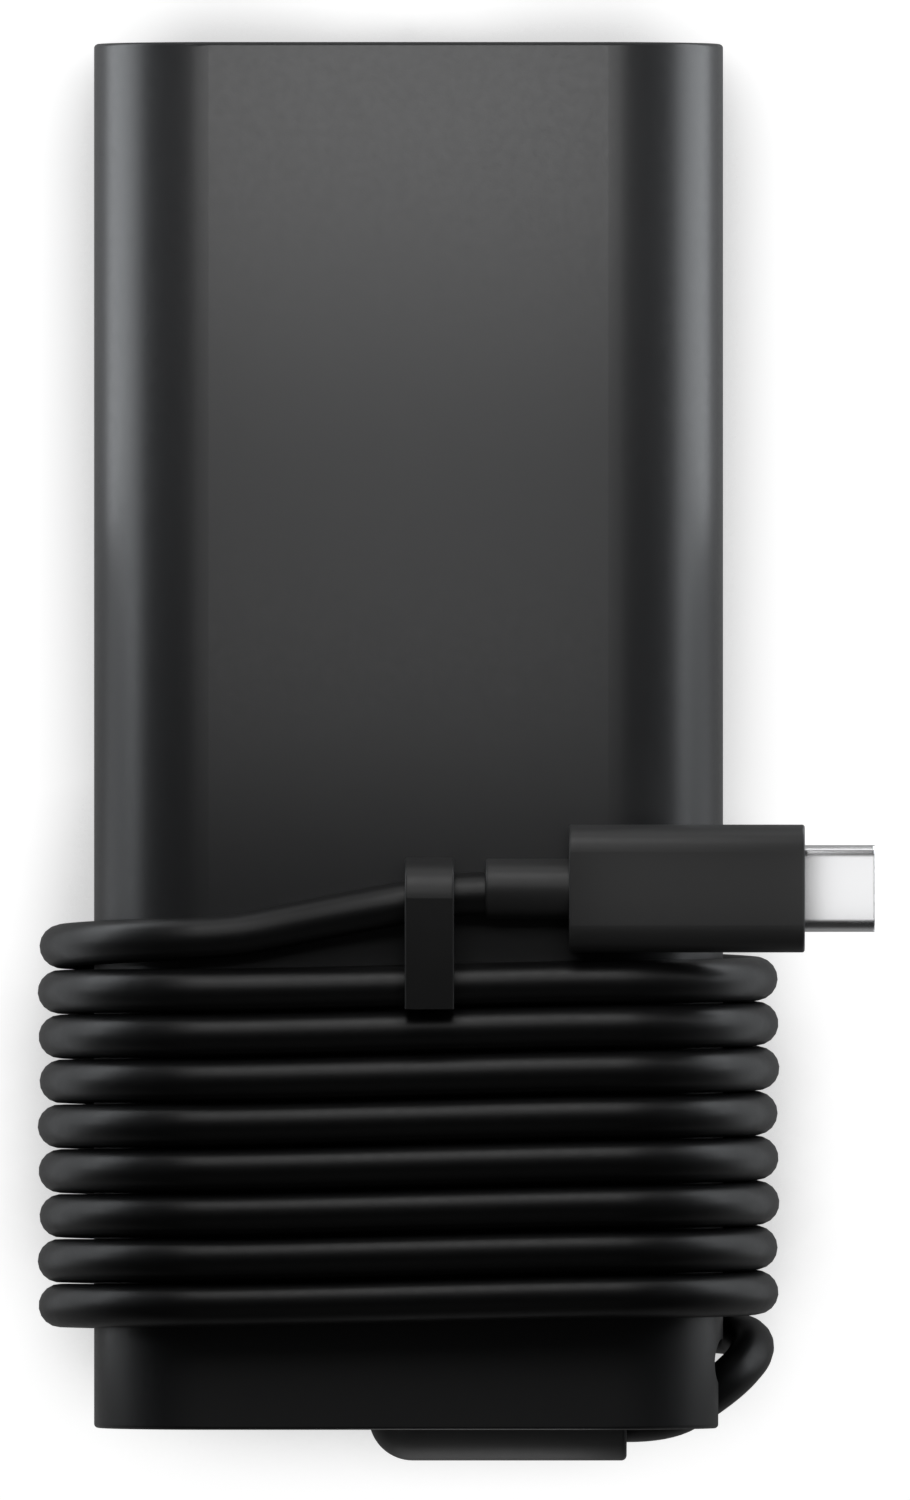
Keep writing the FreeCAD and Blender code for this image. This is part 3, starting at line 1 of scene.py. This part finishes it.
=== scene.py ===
# Looks of a slim laptop power adapter: satin moulded housing, a black lead wound round it, a clip
# and a plug. The frame is the adapter's own, in metres: +X across, +Y to the inlet, +Z out of its face.
import bpy
import json
import math
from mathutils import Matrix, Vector


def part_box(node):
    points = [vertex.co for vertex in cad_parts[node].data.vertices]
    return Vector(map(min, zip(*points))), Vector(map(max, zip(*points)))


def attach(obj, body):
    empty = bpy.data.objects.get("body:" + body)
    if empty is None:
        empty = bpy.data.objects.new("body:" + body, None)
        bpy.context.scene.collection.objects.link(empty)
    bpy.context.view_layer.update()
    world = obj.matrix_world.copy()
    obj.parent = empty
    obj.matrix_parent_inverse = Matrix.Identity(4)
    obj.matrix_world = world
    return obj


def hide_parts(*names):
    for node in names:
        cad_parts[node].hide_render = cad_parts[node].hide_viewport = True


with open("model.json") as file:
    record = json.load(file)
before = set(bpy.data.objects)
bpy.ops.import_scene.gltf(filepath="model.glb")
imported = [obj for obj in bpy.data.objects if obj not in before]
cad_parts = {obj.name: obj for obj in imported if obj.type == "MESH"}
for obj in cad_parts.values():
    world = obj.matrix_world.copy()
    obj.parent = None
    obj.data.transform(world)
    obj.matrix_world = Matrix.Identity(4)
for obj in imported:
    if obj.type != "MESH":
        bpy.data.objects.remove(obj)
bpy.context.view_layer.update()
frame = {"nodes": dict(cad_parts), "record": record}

MM = 0.001

# Sizes that the frame gives
cover_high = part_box("front_cover")[1]
half_thick = cover_high.z
flat_half = cover_high.x - half_thick
boot_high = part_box("cord_elbow")[1]
relief_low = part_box("plug_strain_relief")[0]
grip_low, grip_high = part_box("plug_overmould")
plug_y = (grip_low.y + grip_high.y) / 2
plug_z = (grip_low.z + grip_high.z) / 2

# The lead: its real thickness, and how finely its tube is divided along and around
CORD_DIAMETER = 4.16 * MM
CORD_RADIUS = CORD_DIAMETER / 2
TUBE_STEPS = 8
TUBE_ROUNDNESS = 7

# The winding: its full turns, how far apart they are, and where it goes round the left side last
TURN_COUNT = 8
TURN_PITCH = 4.275 * MM
LAST_LEFT_Y = -20.1 * MM

# How far the lead moves along the housing: over the front from one side to the other, of that on
# the front's flat stretch, on the back's flat stretch, and on the bend that leads to the tail
FRONT_RISE = 1.2 * MM
FRONT_RUN_RISE = 0.8 * MM
BACK_RUN_RISE = 1.9 * MM
TAIL_QUARTER = 0.9 * MM

# How far it stands off the housing, how much more or less it does at the bends, and the step from
# turn to turn of the wave that sets how much
CORD_STAND = 0.14 * MM
SIDE_WANDER = 0.1 * MM
WANDER_STEP = 2.1

# Half of a flat stretch, how far the lead's middle lies from the housing's, and how many points
# go round a side
RUN_HALF = flat_half + 1.0 * MM
WINDING_REACH = half_thick + CORD_STAND + CORD_RADIUS
BEND_STEPS = 6

# From the strain relief to the back. The lead joins the back's flat stretch this far from its end.
LEAD_POINTS = [(0.0246, -0.0653, 0.0), (0.0282, -0.0632, -0.0003), (0.0312, -0.0609, -0.0014),
               (0.0329, -0.0589, -0.0045), (0.0328, -0.0576, -0.0084), (0.0302, -0.0569, -0.0118)]
LEAD_RUN = 12.8 * MM

# From the last turn through the clip to the plug. The tail ends this deep in the plug's strain
# relief, and this far below its middle line as seen from above.
TAIL_POINTS = [(-0.0164, -0.0190, 0.01322), (-0.0120, -0.0181, 0.0133), (-0.0066, -0.0170, 0.0138),
               (-0.0012, -0.0160, 0.0143), (0.0042, -0.0150, 0.0143)]
TAIL_INSIDE = 1.0 * MM
TAIL_DROP = 0.5 * MM


# Lead

def bend_points(side, cap_y, before, after, wander):
    """Control points round one side of the housing. They lie on the tangents of a half circle, and
    their height along the housing goes from before to after the side's middle."""
    step = math.pi / BEND_STEPS
    corner = (WINDING_REACH + wander) / math.cos(step / 2)
    points = []
    for index in range(BEND_STEPS):
        angle = -math.pi / 2 + (index + 0.5) * step
        share = angle / (math.pi / 2)
        rise = after * share if share > 0 else before * share
        x = side * (RUN_HALF + corner * math.cos(angle))
        points.append(Vector((x, cap_y + rise, -side * corner * math.sin(angle))))
    return points


def winding_points():
    """Control points of the wound lead, from the back of the first turn to the front of the last."""
    back_quarter = (TURN_PITCH - FRONT_RISE - BACK_RUN_RISE) / 2
    front_quarter = (FRONT_RISE - FRONT_RUN_RISE) / 2
    near_bend = RUN_HALF - WINDING_REACH * math.tan(math.pi / BEND_STEPS / 2)
    points = []
    for turn in range(TURN_COUNT + 1):
        last = turn == TURN_COUNT
        left_y = LAST_LEFT_Y - (TURN_COUNT - turn) * TURN_PITCH
        back_left_y = left_y - back_quarter
        back_right_y = back_left_y - BACK_RUN_RISE
        wander = SIDE_WANDER * math.sin(turn * WANDER_STEP)
        if turn > 0:
            points.append(Vector((near_bend, back_right_y, -WINDING_REACH)))
            points.append(Vector((0, (back_left_y + back_right_y) / 2, -WINDING_REACH)))
        points.append(Vector((-near_bend, back_left_y, -WINDING_REACH)))
        quarter = TAIL_QUARTER if last else front_quarter
        points += bend_points(-1, left_y, back_quarter, quarter, wander)
        if last:
            break
        front_left_y = left_y + front_quarter
        front_right_y = front_left_y + FRONT_RUN_RISE
        points.append(Vector((-near_bend, front_left_y, WINDING_REACH)))
        points.append(Vector((0, (front_left_y + front_right_y) / 2, WINDING_REACH)))
        points.append(Vector((near_bend, front_right_y, WINDING_REACH)))
        points += bend_points(1, left_y + FRONT_RISE, front_quarter, back_quarter, -wander)
    return points


def cord_route():
    """All control points of the lead, from the strain relief in the housing to the one of the plug."""
    exit_point = Vector((boot_high.x, LEAD_POINTS[0][1], 0))
    winding = winding_points()
    first = winding[0]
    slope = Vector((2 * RUN_HALF, -BACK_RUN_RISE, 0)).normalized()
    run_up = first + slope * (2 * RUN_HALF - LEAD_RUN)
    middle = first + slope * RUN_HALF
    end_point = Vector((relief_low.x + TAIL_INSIDE, plug_y - TAIL_DROP, plug_z))
    lead = [Vector(point) for point in LEAD_POINTS]
    tail = [Vector(point) for point in TAIL_POINTS]
    return [exit_point] + lead + [run_up, middle] + winding + tail + [end_point]


def make_cord():
    """The whole lead as one curve, and the point where it leaves the strain relief."""
    data = bpy.data.curves.new("output_lead", "CURVE")
    data.dimensions = "3D"
    route = cord_route()
    spline = data.splines.new("NURBS")
    spline.points.add(len(route) - 1)
    for point, place in zip(spline.points, route):
        point.co = (*place, 1)
    spline.order_u = 3
    spline.use_endpoint_u = True
    spline.resolution_u = TUBE_STEPS
    data.bevel_depth = CORD_RADIUS
    data.bevel_resolution = TUBE_ROUNDNESS
    cord = bpy.data.objects.new("output_lead", data)
    bpy.context.collection.objects.link(cord)
    cord.data.materials.append(slot_material("cord_jacket"))
    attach(cord, "adapter")
    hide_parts("cord_lead", "cord_winding", "cord_tail")
    return cord, route[0]


# Shader nodes

def noise(tree, scale, detail, roughness, stretch=(1, 1, 1)):
    """Noise whose scale is in waves per metre of the object."""
    place = tree.nodes.new("ShaderNodeTexCoord")
    mapping = tree.nodes.new("ShaderNodeMapping")
    mapping.inputs["Scale"].default_value = stretch
    texture = tree.nodes.new("ShaderNodeTexNoise")
    texture.inputs["Scale"].default_value = scale
    texture.inputs["Detail"].default_value = detail
    texture.inputs["Roughness"].default_value = roughness
    tree.links.new(place.outputs["Object"], mapping.inputs["Vector"])
    tree.links.new(mapping.outputs["Vector"], texture.inputs["Vector"])
    return texture.outputs["Fac"]


def spread(tree, value, low, high, start=0.3, end=0.7):
    """Takes a value that runs from start to end to one that runs from low to high. Nearly all of a
    noise lies between the usual start and end."""
    node = tree.nodes.new("ShaderNodeMapRange")
    node.inputs["From Min"].default_value = start
    node.inputs["From Max"].default_value = end
    node.inputs["To Min"].default_value = low
    node.inputs["To Max"].default_value = high
    tree.links.new(value, node.inputs["Value"])
    return node.outputs["Result"]


def two_colours(tree, value, first, second):
    """The first colour where the value is nought, the second where it is one."""
    node = tree.nodes.new("ShaderNodeMix")
    node.data_type = "RGBA"
    node.inputs["A"].default_value = (*first, 1)
    node.inputs["B"].default_value = (*second, 1)
    tree.links.new(value, node.inputs["Factor"])
    return node.outputs["Result"]


def maths(tree, operation, *values):
    """A maths node. Each value is a number or another node's output."""
    node = tree.nodes.new("ShaderNodeMath")
    node.operation = operation
    for socket, value in zip(node.inputs, values):
        if isinstance(value, (int, float)):
            socket.default_value = value
        else:
            tree.links.new(value, socket)
    return node.outputs[0]


def bump(tree, shader, value, height, normal=None):
    """Bump of a height in metres, on top of another normal if one is given."""
    node = tree.nodes.new("ShaderNodeBump")
    node.inputs["Strength"].default_value = 1
    node.inputs["Distance"].default_value = height
    tree.links.new(value, node.inputs["Height"])
    if normal is not None:
        tree.links.new(normal, node.inputs["Normal"])
    tree.links.new(node.outputs["Normal"], shader.inputs["Normal"])


def soft_edges(tree, radius):
    """A normal that rounds sharp edges."""
    node = tree.nodes.new("ShaderNodeBevel")
    node.samples = 8
    node.inputs["Radius"].default_value = radius
    return node.outputs["Normal"]


def seen_directly(tree, in_gloss):
    """One for what the camera sees straight or through glass, in_gloss for what a glossy surface
    mirrors, else nought."""
    path = tree.nodes.new("ShaderNodeLightPath")
    straight = maths(tree, "MAXIMUM", path.outputs["Is Camera Ray"], path.outputs["Is Transmission Ray"])
    mirrored = maths(tree, "MULTIPLY", path.outputs["Is Glossy Ray"], in_gloss)
    return maths(tree, "MAXIMUM", straight, mirrored)


# Kinds of material

# Plastic: the scale of its colour patches, how many grains wide its gloss patches are, and how much
# its roughness differs to either side
CLOUDS = 60
GLOSS_PATCH = 4
GLOSS_RANGE = 0.03

# Metal: the scale of its fine lines, and how deep they would be if they were black
LINES = 2600
LINE_DEPTH = 15e-6


def new_material(name):
    """A material, its node tree and its shader."""
    material = bpy.data.materials.new(name)
    material.use_nodes = True
    tree = material.node_tree
    return material, tree, tree.nodes["Principled BSDF"]


def moulded(name, dark, light, rough, grain, grain_height=5e-6, level=0.5):
    """Moulded plastic, rubber or lacquer: two near colours, uneven gloss and a fine grain."""
    material, tree, shader = new_material(name)
    shader.inputs["Specular IOR Level"].default_value = level
    cloudy = noise(tree, CLOUDS, detail=4, roughness=0.6)
    tree.links.new(two_colours(tree, cloudy, dark, light), shader.inputs["Base Color"])
    gloss = noise(tree, grain / GLOSS_PATCH, detail=3, roughness=0.6)
    tree.links.new(spread(tree, gloss, rough - GLOSS_RANGE, rough + GLOSS_RANGE), shader.inputs["Roughness"])
    bump(tree, shader, noise(tree, grain, detail=2, roughness=0.5), grain_height)
    return material


def metal(name, colour, rough, brushed, lining=0.1, edge=0):
    """Plated or drawn metal. Its fine lines are darker by the lining, and run along an axis whose
    scale in brushed is small, or across one whose scale is large. Its edges are soft if their
    radius is given."""
    material, tree, shader = new_material(name)
    shader.inputs["Metallic"].default_value = 1
    lines = noise(tree, LINES, detail=3, roughness=0.6, stretch=brushed)
    darker = tuple((1 - lining) * part for part in colour)
    tree.links.new(two_colours(tree, lines, darker, colour), shader.inputs["Base Color"])
    tree.links.new(spread(tree, lines, rough - lining / 2, rough + lining / 2), shader.inputs["Roughness"])
    bump(tree, shader, lines, lining * LINE_DEPTH, soft_edges(tree, edge) if edge else None)
    return material


# Materials that show on the outside

def housing_plastic():
    return moulded("housing_plastic", dark=(0.0245, 0.025, 0.0262), light=(0.0295, 0.03, 0.0312),
                   rough=0.35, grain=5200, grain_height=4e-6)


def cord_jacket():
    return moulded("cord_jacket", dark=(0.0045, 0.0045, 0.0048), light=(0.0065, 0.0065, 0.0068),
                   rough=0.42, grain=3800)


def boot_rubber():
    return moulded("boot_rubber", dark=(0.06, 0.06, 0.0603), light=(0.068, 0.068, 0.0683),
                   rough=0.52, grain=4200, level=0.7)


def plug_plastic():
    return moulded("plug_plastic", dark=(0.032, 0.032, 0.0322), light=(0.037, 0.037, 0.0372),
                   rough=0.40, grain=4800, level=0.42)


def plug_metal():
    return metal("plug_metal", colour=(0.92, 0.92, 0.93), rough=0.27, brushed=(0.1, 1, 1),
                 lining=0.008, edge=0.3 * MM)


def plug_liner():
    return moulded("plug_liner", dark=(0.02, 0.02, 0.02), light=(0.025, 0.025, 0.025),
                   rough=0.4, grain=4000)


def contact_metal():
    return metal("contact_metal", colour=(0.95, 0.68, 0.3), rough=0.25, brushed=(0.1, 1, 1))


def clip_plastic():
    return moulded("clip_plastic", dark=(0.019, 0.019, 0.0192), light=(0.023, 0.023, 0.0232),
                   rough=0.40, grain=4400, level=0.45)


def inlet_plastic():
    return moulded("inlet_plastic", dark=(0.009, 0.009, 0.0095), light=(0.012, 0.012, 0.0125),
                   rough=0.38, grain=5000)


def pin_metal():
    return metal("pin_metal", colour=(0.62, 0.60, 0.56), rough=0.28, brushed=(1, 0.1, 1))


# Materials inside the housing

def wire_sleeve():
    return moulded("wire_sleeve", dark=(0.25, 0.02, 0.015), light=(0.3, 0.03, 0.02),
                   rough=0.4, grain=3000)


def board():
    return moulded("board", dark=(0.012, 0.07, 0.03), light=(0.02, 0.1, 0.045),
                   rough=0.35, grain=3000, grain_height=4e-6)


def bobbin_plastic():
    return moulded("bobbin_plastic", dark=(0.02, 0.02, 0.02), light=(0.03, 0.03, 0.03),
                   rough=0.45, grain=3000)


def ferrite():
    return moulded("ferrite", dark=(0.035, 0.035, 0.038), light=(0.06, 0.06, 0.062),
                   rough=0.6, grain=3500, grain_height=1e-5)


def copper():
    return metal("copper", colour=(0.75, 0.33, 0.14), rough=0.32, brushed=(1, 1, 8))


def component_dark():
    return moulded("component_dark", dark=(0.02, 0.02, 0.02), light=(0.03, 0.03, 0.03),
                   rough=0.5, grain=4000, grain_height=6e-6)


def disc_coat():
    return moulded("disc_coat", dark=(0.02, 0.08, 0.25), light=(0.03, 0.1, 0.3),
                   rough=0.35, grain=1500, grain_height=1e-5)


def film_case():
    return moulded("film_case", dark=(0.5, 0.35, 0.05), light=(0.6, 0.4, 0.07),
                   rough=0.4, grain=3000)


def can():
    return metal("can", colour=(0.7, 0.7, 0.7), rough=0.3, brushed=(1, 1, 0.1))


def sheet():
    return moulded("sheet", dark=(0.75, 0.72, 0.62), light=(0.8, 0.78, 0.7),
                   rough=0.35, grain=2000)


def spreader():
    return metal("spreader", colour=(0.75, 0.76, 0.78), rough=0.35, brushed=(1, 0.1, 1))


def pad():
    return moulded("pad", dark=(0.35, 0.4, 0.5), light=(0.4, 0.45, 0.55),
                   rough=0.6, grain=1500, grain_height=1e-5)


# The record's material slots
MAKERS = {
    "housing": housing_plastic,
    "cord_jacket": cord_jacket,
    "boot": boot_rubber,
    "plug_grip": plug_plastic,
    "plug_metal": plug_metal,
    "plug_liner": plug_liner,
    "contact_metal": contact_metal,
    "clip_plastic": clip_plastic,
    "inlet_plastic": inlet_plastic,
    "pin_metal": pin_metal,
    "wire_sleeve": wire_sleeve,
    "board": board,
    "bobbin_plastic": bobbin_plastic,
    "ferrite": ferrite,
    "copper": copper,
    "component_dark": component_dark,
    "disc_coat": disc_coat,
    "film_case": film_case,
    "can": can,
    "sheet": sheet,
    "spreader": spreader,
    "pad": pad,
}

# The materials that exist so far, by slot
made = {}


def slot_material(slot):
    """The material of a slot, made when it is first asked for."""
    if slot not in made:
        made[slot] = MAKERS[slot]()
    return made[slot]


def paint_nodes():
    """Gives every node of the frame the material of its slot in the record."""
    for sub_part in frame["record"]["subparts"]:
        mesh = frame["nodes"][sub_part["node"]].data
        mesh.materials.clear()
        mesh.materials.append(slot_material(sub_part["material_slot"]))


# Floor

FLOOR_REACH = 4.0

# The share of light that the paper gives back, and how bright its white is in a glossy surface
PAPER_WHITE = 0.28
FLOOR_IN_GLOSS = 0.2

# Close to the object, where it is closed in, the floor's glow is darker, by the halo's depth at
# most: a painted shadow round the object. The darkening starts at one open share, is full at the
# other, and grows by a power between them.
HALO_REACH = 15 * MM
HALO_DEPTH = 0.42
HALO_START = 0.92
HALO_FULL = 0.52
HALO_POWER = 2


def floor_lean():
    """The angle between the housing and the floor, on which the inlet end's lower edge and the
    winding's nearest turn rest."""
    turn_y = LAST_LEFT_Y - (TURN_PITCH - FRONT_RISE - BACK_RUN_RISE) / 2
    across = cover_high.y - turn_y
    down = WINDING_REACH - half_thick
    return math.atan2(down, across) + math.asin(CORD_RADIUS / math.hypot(across, down))


def make_floor():
    """A flat floor that touches the inlet end's lower edge and leans away from the housing."""
    lean = floor_lean()
    corners = []
    for x, along in ((-1, -1), (1, -1), (1, 1), (-1, 1)):
        y = cover_high.y + along * FLOOR_REACH * math.cos(lean)
        z = -half_thick + along * FLOOR_REACH * math.sin(lean)
        corners.append((x * FLOOR_REACH, y, z))
    data = bpy.data.meshes.new("floor")
    data.from_pydata(corners, [], [(0, 1, 2, 3)])
    floor = bpy.data.objects.new("floor", data)
    bpy.context.collection.objects.link(floor)
    floor.data.materials.append(floor_paint())


def floor_paint():
    """White paper. What the lamps leave short of white is added as a glow where it is looked at, less
    of it close to the object, which paints a shadow round it."""
    material = bpy.data.materials.new("floor_paint")
    material.use_nodes = True
    tree = material.node_tree
    tree.nodes.clear()
    output = tree.nodes.new("ShaderNodeOutputMaterial")
    paper = tree.nodes.new("ShaderNodeBsdfDiffuse")
    paper.inputs["Color"].default_value = (PAPER_WHITE, PAPER_WHITE, PAPER_WHITE, 1)
    glow = tree.nodes.new("ShaderNodeEmission")
    both = tree.nodes.new("ShaderNodeAddShader")
    nearby = tree.nodes.new("ShaderNodeAmbientOcclusion")
    nearby.inputs["Distance"].default_value = HALO_REACH
    # Painted shadow: less glow where the object closes the floor in
    closed = spread(tree, nearby.outputs["AO"], 1, 0, HALO_FULL, HALO_START)
    darkening = maths(tree, "POWER", closed, HALO_POWER)
    fill = maths(tree, "MULTIPLY_ADD", darkening, -HALO_DEPTH, 1.0)
    looked_at = maths(tree, "MULTIPLY", fill, seen_directly(tree, FLOOR_IN_GLOSS))
    tree.links.new(looked_at, glow.inputs["Strength"])
    tree.links.new(paper.outputs[0], both.inputs[0])
    tree.links.new(glow.outputs[0], both.inputs[1])
    tree.links.new(both.outputs[0], output.inputs["Surface"])
    return material


# World

# The room's light at the horizon and higher up, where the first ends and the second begins, and how
# bright the world's white is in a glossy surface
HORIZON_LIGHT = 0.1
ROOM_LIGHT = 0.015
HORIZON_TOP = math.radians(10)
ROOM_START = math.radians(22)
WORLD_IN_GLOSS = 0


def make_world():
    """A dark room with a paler horizon, and white where it is looked at."""
    world = bpy.data.worlds.new("studio")
    bpy.context.scene.world = world
    world.use_nodes = True
    tree = world.node_tree
    shade = tree.nodes["Background"]
    place = tree.nodes.new("ShaderNodeTexCoord")
    parts = tree.nodes.new("ShaderNodeSeparateXYZ")
    tree.links.new(place.outputs["Generated"], parts.inputs["Vector"])
    room = spread(tree, parts.outputs["Z"], HORIZON_LIGHT, ROOM_LIGHT,
                  math.sin(HORIZON_TOP), math.sin(ROOM_START))
    shade.inputs["Color"].default_value = (1, 1, 1, 1)
    looked_at = maths(tree, "MAXIMUM", room, seen_directly(tree, WORLD_IN_GLOSS))
    tree.links.new(looked_at, shade.inputs["Strength"])


# Lamps, with places and sizes in millimetres

COOL = (0.93, 0.965, 1)

# Tiles above the adapter: where each begins and ends along it, and how bright it is
FACE_TILES = ((50, 100, 3.14), (35, 50, 1.9), (20, 35, 0.97), (-4, 20, 1.2), (-150, -75, 0.06))
FACE_TILE_WIDTH = 64
FACE_TILE_HEIGHT = 75

# Cards at each side: the middle and length of each along the adapter, and how bright it is. They
# lean outwards from a foot on the floor.
CARDS = (("high", 75, 110, 3.6), ("low", -20, 80, 0.73))
CARD_FOOT_X = 55
CARD_TOP_X = 130
CARD_TOP_Z = 12


def add_lamp(name, place, target, size, radiance, colour=(1, 1, 1), cone=math.pi):
    """A rectangular soft lamp, by the brightness of its face seen straight on. Its light stays
    within the cone. The last factor of the energy keeps that brightness in a narrow cone."""
    width, length = size[0] * MM, size[1] * MM
    data = bpy.data.lights.new(name, "AREA")
    data.shape = "RECTANGLE"
    data.size, data.size_y = width, length
    data.spread = cone
    data.energy = radiance * math.pi * width * length * (1 - cone / 2 / math.tan(cone / 2))
    data.color = colour
    lamp = bpy.data.objects.new(name, data)
    lamp.location = Vector(place) * MM
    lamp.rotation_euler = (Vector(target) - Vector(place)).to_track_quat("-Z", "Y").to_euler()
    lamp.visible_camera = False
    bpy.context.collection.objects.link(lamp)


def add_lamp_above(name, place, size, radiance, cone=math.pi):
    """A lamp that shines straight down."""
    below = (place[0], place[1], 0)
    add_lamp(name, place, below, size, radiance, cone=cone)


def make_face_lamps():
    """Tiles in a row above the adapter, which its face mirrors. The brightest is at the inlet end."""
    for number, (begin, end, radiance) in enumerate(FACE_TILES):
        add_lamp_above("face_lamp_%d" % number, place=(0, (begin + end) / 2, FACE_TILE_HEIGHT),
                       size=(FACE_TILE_WIDTH, end - begin), radiance=radiance)


def make_end_lamps():
    """A low lamp beyond the inlet end, which draws the light line on each turn, a small one before
    the cord end, and one above that end, whose narrow cone keeps off the winding."""
    add_lamp("inlet_end_lamp", place=(0, 500, 90), target=(0, 0, 10), size=(400, 100), radiance=1.65)
    add_lamp("cord_end_lamp", place=(6, -79, 1.5), target=(6, 0, -1.5), size=(24, 13), radiance=0.6)
    add_lamp_above("panel_lamp", place=(0, -68, 19), size=(58, 16), radiance=0.145,
                   cone=math.radians(90))


def make_plug_lamps():
    """Close above the plug's grip and shell, so that they don't show in the housing's face."""
    add_lamp_above("grip_lamp", place=(27.5, -14.5, 28), size=(21, 8), radiance=0.4)
    add_lamp_above("shell_lamp", place=(44.6, -13.8, 26), size=(11.7, 9.8), radiance=0.98)


def make_side_lamps():
    """At each side an upright panel and two cards."""
    for side, word in ((-1, "left"), (1, "right")):
        add_lamp("wall_lamp_" + word, place=(side * 200, 60, 35), target=(0, 30, 0),
                 size=(160, 50), radiance=2.8, colour=COOL)
        for name, y, length, radiance in CARDS:
            foot_z = (y - cover_high.y / MM) * math.tan(floor_lean()) - half_thick / MM
            foot = Vector((side * CARD_FOOT_X, y, foot_z))
            top = Vector((side * CARD_TOP_X, y, CARD_TOP_Z))
            middle = (foot + top) / 2
            slope = top - foot
            facing = Vector((-side * slope.z, 0, abs(slope.x)))
            add_lamp("card_lamp_%s_%s" % (word, name), place=middle, target=middle + facing,
                     size=(length, slope.length), radiance=radiance, colour=COOL)


# Camera

CAMERA_HEIGHT = 3.5
VIEW_CENTRE = (4.43 * MM, -1.34 * MM)
VIEW_HEIGHT = 143.1 * MM


def make_camera():
    """Straight above the housing, at the photograph's framing."""
    data = bpy.data.cameras.new("camera")
    data.sensor_width = 36
    data.lens = data.sensor_width * CAMERA_HEIGHT / VIEW_HEIGHT
    data.clip_start, data.clip_end = 0.01, 20
    camera = bpy.data.objects.new("camera", data)
    camera.location = (*VIEW_CENTRE, CAMERA_HEIGHT)
    bpy.context.collection.objects.link(camera)
    bpy.context.scene.camera = camera


make_camera()
cord, cord_exit = make_cord()
paint_nodes()
make_floor()
make_world()
make_face_lamps()
make_end_lamps()
make_plug_lamps()
make_side_lamps()
bpy.context.scene.view_settings.view_transform = "Standard"
